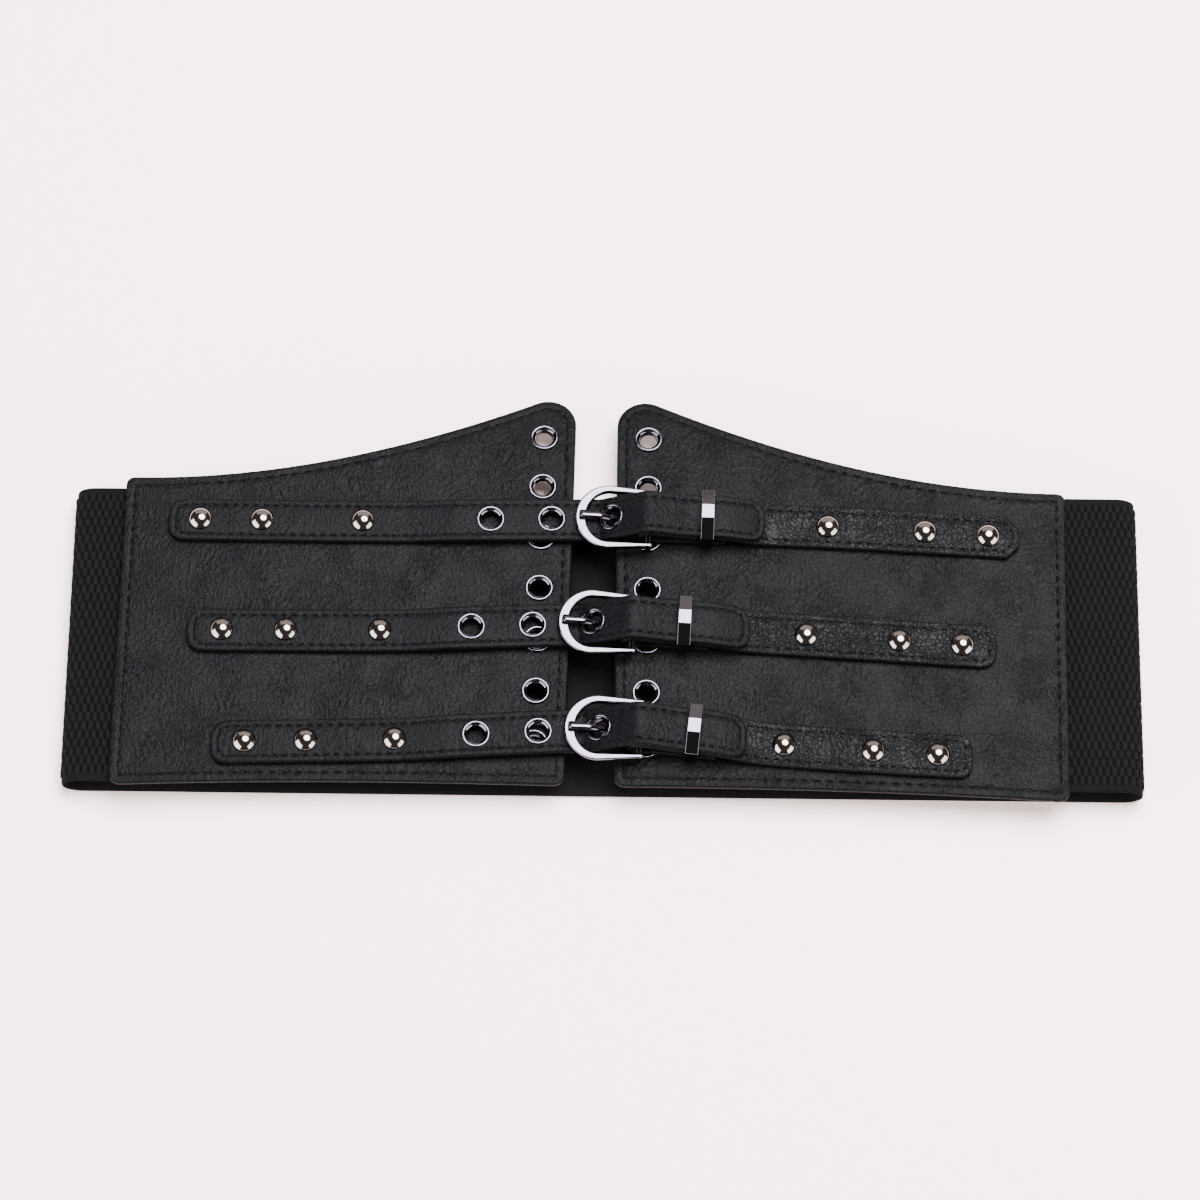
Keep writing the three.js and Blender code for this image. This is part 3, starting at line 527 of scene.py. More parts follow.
class Row:
    """One tier's places and middle lines."""

    def __init__(self, lv, tier):
        f, b, s = lv.front, lv.buckle, lv.strap
        self.lv, self.tier = lv, tier
        self.left_end, self.right_end = -tier.left_end * lv.reach, tier.right_end * lv.reach
        self.bar = tier.bar * lv.reach
        stations = np.array([
            self.left_end, self.left_end + tier.left_stud * f.panel_width, self.bar,
            self.right_end - tier.right_stud * f.panel_width, self.right_end,
        ])
        heights = lv.panel_low + np.array(tier.heights) * f.panel_height
        self.stations, self.heights, self.bends = stations, heights, natural_bends(stations, heights)
        self.turn = math.radians(tier.turn)
        middle = b.frame_length / 2
        self.bar_y = float(self.lateral(self.bar - middle)) + middle * math.tan(self.turn)
        self.hole = self.bar - tier.hole * b.frame_length
        self.keeper = self.bar + tier.keeper * b.frame_length
        self.tip = self.bar + tier.tip * b.frame_length
        self.bar_point = np.array([self.bar, lv.bar_height])
        self.tongue = Path(self.on_panel(self.tongue_line()))
        self.buckle = Path(self.on_panel(self.buckle_line()))
        self.holes = self.hole - np.arange(s.eyelet_count)[::-1] * s.eyelet_pitch

    def lateral(self, x):
        """The strap's sideways place at x, on a curve through its stations."""
        return cubic(self.stations, self.heights, self.bends, np.asarray(x, float))

    def prong_at(self, distance):
        """Height of the prong's middle line on its sloping part, at a distance from the bar."""
        b = self.lv.buckle
        run = b.frame_length - b.bar_radius - b.prong_level - distance
        return self.lv.prong_height - run * math.tan(b.prong_dive)

    def on_panel(self, line):
        """Lifts a line from the panel's face to its real height."""
        x = line[:, 0]
        return np.stack([x, line[:, 1] + self.lv.panel_top + self.lv.drape(x, self.lateral(x))], 1)

    def buckle_line(self):
        """Middle line of the buckle strap: from its folded end round the bar to its fastened end."""
        lv, s, b = self.lv, self.lv.strap, self.lv.buckle
        flat, folded, bar = self.bar + s.fold_join, self.bar + s.fold_back, self.bar_point
        leave = touch((flat, lv.kept), bar, lv.fold_radius, 1)
        run = rounded([
            arc(bar, lv.fold_radius, leave, leave, 1)[0], (flat, lv.kept), (folded, lv.kept),
            (folded + s.set_down, lv.low), (self.right_end, lv.low),
        ], s.ease)
        under = rounded([
            (folded, lv.low), (flat, lv.low), (self.bar + b.slot_length / 2, bar[1] - lv.fold_radius),
            (self.bar, bar[1] - lv.fold_radius),
        ], s.ease)
        return np.vstack([under, arc(bar, lv.fold_radius, 1.5 * math.pi, leave, 30)[1:], run[1:]])

    def tongue_line(self):
        """Middle line of the tongue strap: up before its eyelets, over the bar and through the keeper."""
        lv, s = self.lv, self.lv.strap
        bar = self.bar_point
        hole = (self.hole, self.prong_at(self.bar - self.hole))
        rise = touch(hole, bar, lv.tongue_radius, -1)
        onto = arc(bar, lv.tongue_radius, rise, rise, 1)[0]
        foot = hole[0] - (hole[1] - lv.high) / ((onto[1] - hole[1]) / (onto[0] - hole[0]))
        kept = (self.bar + s.fold_join, lv.kept_tongue)
        leave = touch(kept, bar, lv.tongue_radius, 1)
        lifted = panel_eyelets(lv, -1)[0][0] - lv.fastener.crown_radius - s.eyelet_pitch - s.lift_spare
        end = self.bar + s.fold_back
        lowered = (self.tip - end) / s.set_down
        last = lv.kept_tongue + lowered * (lv.low - lv.kept)
        approach = rounded([
            (self.left_end, lv.low), (lifted - s.lift_length, lv.low), (lifted, lv.high), (foot, lv.high),
            onto,
        ], s.lift_ease)
        finish = rounded([
            arc(bar, lv.tongue_radius, leave, leave, 1)[0], kept, (end, lv.kept_tongue), (self.tip, last),
        ], s.ease)
        return np.vstack([approach, arc(bar, lv.tongue_radius, rise, leave, 16)[1:], finish[1:]])


def natural_bends(x, y):
    """Slopes at the stations of a cubic curve, with plain slopes at its ends, as the CAD source has them."""
    slopes = np.empty(len(x))
    for i in range(1, len(x) - 1):
        slopes[i] = ((y[i] - y[i - 1]) / (x[i] - x[i - 1]) + (y[i + 1] - y[i]) / (x[i + 1] - x[i])) / 2
    slopes[0] = (y[1] - y[0]) / (x[1] - x[0])
    slopes[-1] = (y[-1] - y[-2]) / (x[-1] - x[-2])
    return slopes


def cubic(x, y, slopes, at):
    """Height of the curve through the stations, with the given slopes there."""
    i = np.clip(np.searchsorted(x, at, side="right") - 1, 0, len(x) - 2)
    h = x[i + 1] - x[i]
    t = np.clip((at - x[i]) / h, 0, 1)
    return (
        (2 * t**3 - 3 * t**2 + 1) * y[i] + (t**3 - 2 * t**2 + t) * h * slopes[i]
        + (-2 * t**3 + 3 * t**2) * y[i + 1] + (t**3 - t**2) * h * slopes[i + 1]
    )


def new_object(name, vertices, faces, looks, flat=None, parts=None):
    """A smooth object from mesh data, with each point's flat place and each face's look, if given."""
    mesh = bpy.data.meshes.new(name)
    mesh.from_pydata([tuple(v) for v in vertices], [], [tuple(int(i) for i in f) for f in faces])
    if not mesh.polygons:
        raise RuntimeError(f"{name} came out with no faces")
    mesh.polygons.foreach_set("use_smooth", np.ones(len(mesh.polygons), bool))
    for look in looks:
        mesh.materials.append(look)
    if flat is not None:
        attribute = mesh.attributes.new("flat", "FLOAT_VECTOR", "POINT")
        attribute.data.foreach_set("vector", np.asarray(flat, np.float32).ravel())
    if parts is not None:
        mesh.polygons.foreach_set("material_index", np.asarray(parts, np.int32))
    mesh.update()
    made = bpy.data.objects.new(name, mesh)
    bpy.context.scene.collection.objects.link(made)
    return made


def finish_piece(made, node):
    """The made object stands for a CAD node, which it hides, and hangs under the root."""
    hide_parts(node)
    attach(made, "root")
    return made


def inset_ring(outline, distance):
    """The outline moved inwards."""
    before, after = np.roll(outline, 1, axis=0), np.roll(outline, -1, axis=0)
    a = (outline - before) / np.linalg.norm(outline - before, axis=1)[:, None]
    b = (after - outline) / np.linalg.norm(after - outline, axis=1)[:, None]
    normal_a, normal_b = np.stack([-a[:, 1], a[:, 0]], 1), np.stack([-b[:, 1], b[:, 0]], 1)
    normal = normal_a + normal_b
    normal /= np.maximum(1.0, np.sum(normal * normal_a, axis=1))[:, None]
    return outline + normal * distance


def from_edge(points, outline, block=4000):
    """Each point's distance from the outline, and where along the outline it lies."""
    a, b = outline, np.roll(outline, -1, axis=0)
    d = b - a
    size = np.linalg.norm(d, axis=1)
    run = np.concatenate([[0], np.cumsum(size)[:-1]])
    far, along = np.empty(len(points)), np.empty(len(points))
    for i in range(0, len(points), block):
        p = points[i:i + block, None, :]
        t = np.clip(((p - a) * d).sum(-1) / size**2, 0, 1)
        away = np.linalg.norm(p - a - t[..., None] * d, axis=-1)
        k = away.argmin(1)
        rows = np.arange(len(k))
        far[i:i + block] = away[rows, k]
        along[i:i + block] = run[k] + t[rows, k] * size[k]
    return far, along


def inside(points, outline, block=4000):
    """Whether each point lies inside the outline."""
    a, b = outline, np.roll(outline, -1, axis=0)
    found = np.empty(len(points), bool)
    for i in range(0, len(points), block):
        x, y = points[i:i + block, :1], points[i:i + block, 1:]
        crosses = (a[:, 1] > y) != (b[:, 1] > y)
        rise = np.where(b[:, 1] == a[:, 1], 1e-12, b[:, 1] - a[:, 1])
        at = a[:, 0] + (y - a[:, 1]) / rise * (b[:, 0] - a[:, 0])
        found[i:i + block] = (crosses & (x < at)).sum(1) % 2 == 1
    return found


def triangulate(outline, holes, rings, spacing):
    """Points and triangles of a flat sheet, with a ring of points at each given distance from its edge."""
    loops = [inset_ring(outline, r) for r in rings] + holes
    edges, points = [], []
    for loop in loops:
        first = sum(len(p) for p in points)
        points.append(loop)
        edges += [(first + i, first + (i + 1) % len(loop)) for i in range(len(loop))]
    low, high = outline.min(0), outline.max(0)
    rows = np.arange(low[1], high[1], spacing * math.sqrt(3) / 2)
    grid = np.array([
        (x, y) for k, y in enumerate(rows)
        for x in np.arange(low[0] + (k % 2) * spacing / 2, high[0], spacing)
    ])
    grid = grid[inside(grid, outline)]
    grid = grid[from_edge(grid, outline)[0] > rings[-1] + spacing / 2]
    for hole in holes:
        grid = grid[~inside(grid, hole)]
        grid = grid[from_edge(grid, hole)[0] > spacing / 2]
    points.append(grid)
    flat = np.vstack(points) / MM
    result = delaunay_2d_cdt([Vector(p) for p in flat], edges, [], 0, 1e-5)
    found = np.array([tuple(v) for v in result[0]]) * MM
    triangles = np.array([f for f in result[2] if len(f) == 3])
    middle = found[triangles].mean(1)
    keep = inside(middle, outline)
    for hole in holes:
        keep &= ~inside(middle, hole)
    triangles = triangles[keep]
    a, b, c = (found[triangles[:, k]] for k in range(3))
    turned = (b[:, 0] - a[:, 0]) * (c[:, 1] - a[:, 1]) - (b[:, 1] - a[:, 1]) * (c[:, 0] - a[:, 0]) < 0
    triangles[turned] = triangles[turned][:, ::-1]
    used = np.unique(triangles)
    renumber = np.full(len(found), -1)
    renumber[used] = np.arange(len(used))
    return found[used], renumber[triangles]


def open_edges(triangles):
    """Edges that only one triangle has, in that triangle's direction."""
    edges = np.vstack([triangles[:, [0, 1]], triangles[:, [1, 2]], triangles[:, [2, 0]]])
    key = np.sort(edges, axis=1)
    _, index, count = np.unique(key, axis=0, return_index=True, return_counts=True)
    return edges[index[count == 1]]


class Sheet:
    """A sheet of leather cloth with round edges and a sunken seam, laid by a function of its flat place."""

    def __init__(self, outline, holes, thickness, inset, pitch, place, crown, wave, spacing):
        self.outline, self.half, self.place = outline, thickness / 2, place
        self.inset, self.pitch, self.crown, self.wave = inset, pitch, crown, wave
        edge = self.half * EDGE_SHARE
        rings = [0] + [edge * (1 - math.cos(t)) for t in np.radians([25, 50, 72, 90])]
        rings += [(rings[-1] + inset - GROOVE) / 2] + [inset + k * GROOVE for k in (-1, -0.5, 0, 0.5, 1)]
        self.edge = edge
        self.points, self.triangles = triangulate(outline, holes, rings, spacing)
        self.far, self.along = from_edge(self.points, outline)
        self.perimeter = np.linalg.norm(np.roll(outline, -1, axis=0) - outline, axis=1).sum()
        self.count = max(3, round(self.perimeter / pitch))

    def round_edge(self, far):
        """Half the thickness, brought down to nothing along the round edge."""
        t = np.clip(1 - far / self.edge, 0, 1)
        return self.half * np.sqrt(np.maximum(0, 1 - t**2))

    def face(self, far, along, points):
        """Height of the upper face over the middle of the sheet."""
        beat = np.cos(math.pi * along / self.perimeter * self.count) ** 2
        pressed = GROOVE_LEAST + (1 - GROOVE_LEAST) * beat
        groove = np.exp(-(((far - self.inset) / (GROOVE * GROOVE_SIDES)) ** 2)) * pressed
        rim = np.exp(-(((far - self.inset * RIM_PLACE) / (self.inset * RIM_WIDTH)) ** 2))
        inner = 1 - np.exp(-(np.maximum(0, far - self.inset) / SEAM_FADE) ** 2)
        height = self.round_edge(far) - GROOVE_DEPTH * groove + RIM_RISE * rim
        return height + inner * (self.crown + self.wave * ripple(points))

    def build(self, name, look, seed):
        """The sheet's two faces, which meet in its edge, and the walls of its holes."""
        top, bottom = self.face(self.far, self.along, self.points), -self.round_edge(self.far)
        shared = self.far < 1e-6
        lower = np.arange(len(self.points)) + len(self.points)
        lower[shared] = np.flatnonzero(shared)
        vertices = np.vstack([self.place(self.points, top), self.place(self.points, bottom)])
        faces = [tuple(t) for t in self.triangles] + [tuple(lower[t][::-1]) for t in self.triangles]
        for a, b in open_edges(self.triangles):
            if not (shared[a] and shared[b]):
                faces.append((b, a, lower[a], lower[b]))
        flat = np.zeros((len(vertices), 3))
        flat[:, :2] = np.vstack([self.points, self.points]) / MM
        flat[:, 2] = SEED_STEP * seed
        used = np.unique(np.concatenate([np.array(f) for f in faces]))
        renumber = np.full(len(vertices), -1)
        renumber[used] = np.arange(len(used))
        faces = [tuple(renumber[list(f)]) for f in faces]
        return new_object(name, vertices[used], faces, [look], flat[used])

    def stitches(self, name, look):
        """The seam's thread: one sunken capsule for each stitch."""
        ring = resample(inset_ring(self.outline, self.inset), self.pitch / 24, closed=True)
        step = np.roll(ring, -1, axis=0) - ring
        run = np.concatenate([[0], np.cumsum(np.linalg.norm(step, axis=1))])
        ring = np.vstack([ring, ring[:1]])
        whole, pitch = run[-1], run[-1] / self.count
        vertices, faces = [], []
        sides = np.linspace(0, 2 * math.pi, THREAD_SIDES, endpoint=False)
        stations, girth = np.array(STITCH).T
        level = self.half - GROOVE_DEPTH * THREAD_SINK
        for k in range(self.count):
            at = ((k + 0.5) * pitch + stations * THREAD_SHARE * pitch / 2) % whole
            line = np.stack([np.interp(at, run, ring[:, j]) for j in (0, 1)], 1)
            tangent = line[4] - line[2]
            tangent /= np.linalg.norm(tangent)
            across = np.array([-tangent[1], tangent[0]])
            first = len(vertices) * THREAD_SIDES * len(stations)
            flat = line[:, None, :] + (THREAD * girth[:, None] * np.cos(sides))[..., None] * across
            dip = THREAD_DIP * (stations**4)[:, None]
            height = level + THREAD * (girth[:, None] * np.sin(sides) - dip)
            vertices.append(self.place(flat.reshape(-1, 2), height.ravel()))
            for i in range(len(stations) - 1):
                for j in range(THREAD_SIDES):
                    a, b = first + i * THREAD_SIDES + j, first + i * THREAD_SIDES + (j + 1) % THREAD_SIDES
                    faces.append((a, b, b + THREAD_SIDES, a + THREAD_SIDES))
            faces.append(tuple(first + j for j in range(THREAD_SIDES))[::-1])
            faces.append(tuple(first + (len(stations) - 1) * THREAD_SIDES + j for j in range(THREAD_SIDES)))
        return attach(new_object(name, np.vstack(vertices), faces, [look]), "root")


def ripple(points):
    """A soft unevenness between -1 and 1, as cloth that was pressed and bent has it: slow waves, given by
    their reach along x and y in millimetres and their phase, over places that bend to and fro."""
    x, y = points[:, 0] / MM, points[:, 1] / MM
    warped = x + 4 * np.sin(y / 9.1 + 0.7), y + 3 * np.sin(x / 11.7 + 1.9)
    waves = ((7.3, 3.1, 0.4), (-4.9, 6.7, 2.1), (2.6, -8.3, 4.0), (9.7, 8.9, 5.2), (-12.1, 5.3, 0.9))
    total = sum(np.sin(warped[0] / a + warped[1] / b + c) for a, b, c in waves)
    return total / len(waves)


def lathe(profile, segments, closed=False):
    """Vertices and faces of a profile of radius and height turned about Z."""
    profile = np.array(profile)
    turn = np.linspace(0, 2 * math.pi, segments, endpoint=False)
    vertices = np.array([(r * math.cos(t), r * math.sin(t), z) for r, z in profile for t in turn])
    count, faces = len(profile), []
    for i in range(count if closed else count - 1):
        k = (i + 1) % count
        for j in range(segments):
            n = (j + 1) % segments
            faces.append((i * segments + j, i * segments + n, k * segments + n, k * segments + j))
    return vertices, faces


def tube(sections, closed=False):
    """Vertices and faces of a run of closed sections, joined end to end."""
    count, size = len(sections), len(sections[0])
    vertices, faces = np.vstack(sections), []
    for i in range(count if closed else count - 1):
        k = (i + 1) % count
        for j in range(size):
            n = (j + 1) % size
            faces.append((i * size + j, i * size + n, k * size + n, k * size + j))
    if not closed:
        faces.append(tuple(range(size))[::-1])
        faces.append(tuple((count - 1) * size + j for j in range(size)))
    return vertices, faces


def cad_pose(node):
    """Middle, upward axis and extent along it of a round CAD node."""
    points = np.array([v.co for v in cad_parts[node].data.vertices])
    points = np.unique(points.round(7), axis=0)
    middle = points.mean(0)
    axis = np.linalg.svd(points - middle, full_matrices=False)[2][-1]
    axis *= math.copysign(1, axis[2])
    reach = (points - middle) @ axis
    return middle, axis, reach.min(), reach.max()


def set_upright(made, foot, axis):
    """Stands an object on a point, its Z along an axis."""
    turn = Vector(axis).to_track_quat("Z", "Y").to_matrix().to_4x4()
    made.matrix_world = Matrix.Translation(Vector(foot)) @ turn
    return made


def add(tree, kind, inputs=(), **settings):
    """A node with its settings, and its inputs given as values or as sockets to link."""
    made = tree.nodes.new("ShaderNode" + kind)
    for name, value in settings.items():
        setattr(made, name, value)
    for name, value in dict(inputs).items():
        if isinstance(value, bpy.types.NodeSocket):
            tree.links.new(value, made.inputs[name])
        else:
            made.inputs[name].default_value = value
    return made


def new_material(name, **constants):
    """A material with its shader and constants on the shader's own sockets."""
    made = bpy.data.materials.new(name)
    made.use_nodes = True
    shader = made.node_tree.nodes["Principled BSDF"]
    for socket, value in constants.items():
        shader.inputs[socket.replace("_", " ")].default_value = value
    return made, made.node_tree, shader


def smooth(tree, value, low, high, first=0.0, last=1.0):
    """Socket that goes smoothly from the first to the last number as the value goes from low to high."""
    limits = {"Value": value, "From Min": low, "From Max": high, "To Min": first, "To Max": last}
    return add(tree, "MapRange", limits, interpolation_type="SMOOTHSTEP").outputs[0]


def sums(tree, terms):
    """Socket with the sum of pairs of a socket and a factor."""
    total = None
    for socket, factor in terms:
        scaled = add(tree, "Math", {0: socket, 1: factor}, operation="MULTIPLY").outputs[0]
        total = scaled if total is None else add(tree, "Math", {0: total, 1: scaled}).outputs[0]
    return total


def leather_material(name, gloss, relief):
    """Polyurethane leather cloth: embossed with a fine grain, then creased where it was bent. The eye sees
    a dull black skin with small soft glints on the ridges between its creases."""
    made, tree, shader = new_material(name, Specular_IOR_Level=LEATHER_SHINE + gloss)
    colours = bpy.context.scene.corset_colours
    flat = add(tree, "Attribute", attribute_name="flat").outputs["Vector"]
    # The grain wanders, so that no cell repeats: places are moved by a slow noise, in mm.
    drift = add(tree, "TexNoise", {"Vector": flat, "Scale": 1 / DRIFT, "Detail": 1.0}).outputs["Color"]
    drift = add(tree, "VectorMath", {0: drift, 1: (0.5, 0.5, 0.5)}, operation="SUBTRACT").outputs[0]
    reach = (DRIFT_REACH, DRIFT_REACH, 0.0)
    moved = add(tree, "VectorMath", {0: drift, 1: reach, 2: flat}, operation="MULTIPLY_ADD").outputs[0]
    # Long creases: cells drawn out along one slanting line, that show in patches.
    slant = {"Vector": moved, "Rotation": (0, 0, 0.9), "Scale": (1.0, 0.55, 1.0)}
    drawn = add(tree, "Mapping", slant).outputs[0]
    creases = add(
        tree, "TexVoronoi", {"Vector": drawn, "Scale": 1 / CREASE}, feature="DISTANCE_TO_EDGE",
    ).outputs["Distance"]
    crease = smooth(tree, creases, 0.0, 0.12, 1.0, 0.0)
    patches = add(tree, "TexNoise", {"Vector": flat, "Scale": 1 / PATCH, "Detail": 3.0}).outputs["Fac"]
    worn = smooth(tree, patches, 0.42, 0.6)
    worn_crease = add(tree, "Math", {0: worn, 1: crease}, operation="MULTIPLY").outputs[0]
    # Fine wrinkles drawn out the same way, deeper in the patches, and the pads between small cracks.
    wrinkles = add(tree, "TexNoise", {"Vector": drawn, "Scale": 1 / WRINKLE, "Detail": 1.5}).outputs["Fac"]
    worn_wrinkles = add(tree, "Math", {0: worn, 1: wrinkles}, operation="MULTIPLY").outputs[0]
    cells = add(
        tree, "TexVoronoi", {"Vector": moved, "Scale": 1 / PAD}, feature="DISTANCE_TO_EDGE",
    ).outputs["Distance"]
    pads = smooth(tree, cells, 0.0, 0.2)
    # How high each layer stands, in millimetres.
    height = sums(tree, (
        (wrinkles, 0.26 * relief), (worn_wrinkles, 0.28 * relief), (pads, 0.04 * relief**2),
        (worn_crease, -0.03 * relief),
    ))
    bump = add(tree, "Bump", {"Height": height, "Strength": 1.0, "Distance": MM}).outputs[0]
    tree.links.new(bump, shader.inputs["Normal"])
    # Painted shade: the colour is darker in the cracks between the pads and lighter on the pads.
    mixed = {0: pads, 6: tuple(colours.leather_crack_shade), 7: tuple(colours.leather_light)}
    tree.links.new(add(tree, "Mix", mixed, data_type="RGBA").outputs[2], shader.inputs["Base Color"])
    dullness = sums(tree, ((wrinkles, 0.8), (pads, 0.2)))
    tree.links.new(smooth(tree, dullness, 0.0, 0.6, 0.52, 0.4 - 4 * gloss), shader.inputs["Roughness"])
    return made


def elastic_material(name, inside_face):
    """Polyester and rubber yarn woven on a loom: upright ribs set like a checkerboard on the outside, fine
    cross ribs on the inside. The eye sees matt black; the gaps between the ribs are painted darker, as shade,
    and the inner face, seen in the shade between the panels, is painted lighter, as light."""
    made, tree, shader = new_material(name, Roughness=0.75, Specular_IOR_Level=ELASTIC_SHINE)
    colours = bpy.context.scene.corset_colours
    flat = add(tree, "Attribute", attribute_name="flat").outputs["Vector"]
    # The third place holds the height of the weave, from 0 in a gap to 1 on a rib.
    rib = add(tree, "SeparateXYZ", {0: flat}).outputs["Z"]
    # Yarns 0.39 mm apart along the waist outside, and 0.35 mm apart across it inside: the wave's bands are
    # 0.31 mm apart at a scale of 1.
    scale, relief, across = (0.9, 0.12, "Y") if inside_face else (0.8, 0.03, "X")
    yarn = add(
        tree, "TexWave", {"Vector": flat, "Scale": scale, "Distortion": 0.6, "Detail": 1.0},
        wave_type="BANDS", bands_direction=across,
    ).outputs["Fac"]
    fuzz = add(tree, "TexNoise", {"Vector": flat, "Scale": 3.0, "Detail": 3.0}).outputs["Fac"]
    height = sums(tree, ((yarn, relief), (fuzz, 0.12)))
    bump = add(tree, "Bump", {"Height": height, "Strength": 1.0, "Distance": MM}).outputs[0]
    tree.links.new(bump, shader.inputs["Normal"])
    # The inner face's colour is painted lighter, as light in the shaded gap between the panels.
    rib_or_painted_light = colours.elastic_inside if inside_face else colours.elastic_rib
    # Painted shade: the gaps between the ribs take the darker colour.
    mixed = {0: rib, 6: tuple(colours.elastic_gap_shade), 7: tuple(rib_or_painted_light)}
    tree.links.new(add(tree, "Mix", mixed, data_type="RGBA").outputs[2], shader.inputs["Base Color"])
    return made


def metal_material(name, tone, rough):
    """Zinc alloy, cast, polished and plated with black nickel: a smoky mirror whose look is the lamps and
    dark room that it shows, and which handling wore a little unevenly, in spots 1.1 mm apart."""
    made, tree, shader = new_material(name, Metallic=1.0, Base_Color=tuple(tone))
    place = add(tree, "TexCoord").outputs["Object"]
    wear = add(tree, "TexNoise", {"Vector": place, "Scale": 900.0, "Detail": 2.0}).outputs["Fac"]
    value = add(tree, "MapRange", {"Value": wear, "To Min": rough * 0.8, "To Max": rough * 1.25}).outputs[0]
    tree.links.new(value, shader.inputs["Roughness"])
    return made


def thread_material(name):
    """Polyester sewing thread, twisted, with 0.25 mm from one turn to the next: matt black, a little darker
    than the leather round it."""
    tone = tuple(bpy.context.scene.corset_colours.thread)
    made, tree, shader = new_material(name, Base_Color=tone, Specular_IOR_Level=0.02)
    place = add(tree, "TexCoord").outputs["Object"]
    twist = add(tree, "TexNoise", {"Vector": place, "Scale": 4000.0, "Detail": 1.0}).outputs["Fac"]
    bump = add(tree, "Bump", {"Height": twist, "Strength": 0.4, "Distance": 0.1 * MM}).outputs[0]
    tree.links.new(bump, shader.inputs["Normal"])
    rough = add(tree, "MapRange", {"Value": twist, "To Min": 0.6, "To Max": 0.8}).outputs[0]
    tree.links.new(rough, shader.inputs["Roughness"])
    return made


def floor_material(name):
    """Matt painted board, rolled on with a grain of 3.3 mm: an even, slightly warm white."""
    tone = tuple(bpy.context.scene.corset_colours.floor)
    made, tree, shader = new_material(name, Base_Color=tone, Specular_IOR_Level=0.1)
    place = add(tree, "TexCoord").outputs["Object"]
    grain = add(tree, "TexNoise", {"Vector": place, "Scale": 300.0}).outputs["Fac"]
    rough = add(tree, "MapRange", {"Value": grain, "To Min": 0.85, "To Max": 0.95}).outputs[0]
    tree.links.new(rough, shader.inputs["Roughness"])
    return made


def material(name, make, *details):
    """The material of that name, made the first time that it is asked for."""
    return bpy.data.materials.get(name) or make(name, *details)


def plate_material():
    """The plate that frames, prongs, keepers and eyelets share."""
    return material("black nickel plate", metal_material, bpy.context.scene.corset_colours.plate, PLATE_ROUGH)


def band_line(lv):
    """The band's middle line in its own frame, from the left panel round the back to the right one."""
    band = lv.band
    middle, half = band.thickness / 2, band.span / 2 - band.fold_reach
    rise, high = (band.fold_height - band.thickness) / 2, band.fold_height - band.thickness / 2
    turn = np.linspace(math.pi / 2, -math.pi / 2, 41)
    x, z = half + (band.fold_reach - middle) * np.cos(turn), middle + rise + rise * np.sin(turn)
    left, right = np.stack([-x, z], 1), np.stack([x, z], 1)[::-1]
    inner = lv.reach - lv.front.seam_lap
    return Path(np.vstack([[(-inner - band.shift, high)], left, right, [(inner - band.shift, high)]]))


def weave(band, s, t):
    """Height of the weave from 0 in a gap to 1 on a rib, and how much of it is selvedge."""
    edge = band.width / 2 - np.abs(t)
    plain = np.clip((band.selvedge - edge) / SELVEDGE_SOFT + 0.5, 0, 1)
    row = (t + band.width / 2 - band.selvedge) / band.cell_height
    column = s / band.cell_length + 0.5 * (np.floor(row) % 2)
    u, v = np.abs(2 * (column % 1) - 1), np.abs(2 * (row % 1) - 1)
    side = np.clip((RIB_HALF - u) / RIB_FLANK + 0.5, 0, 1)
    rib = side**2 * (3 - 2 * side) * (1 - RIB_DIP * v**8)
    return rib * (1 - plain) + SELVEDGE_HEIGHT * plain, plain


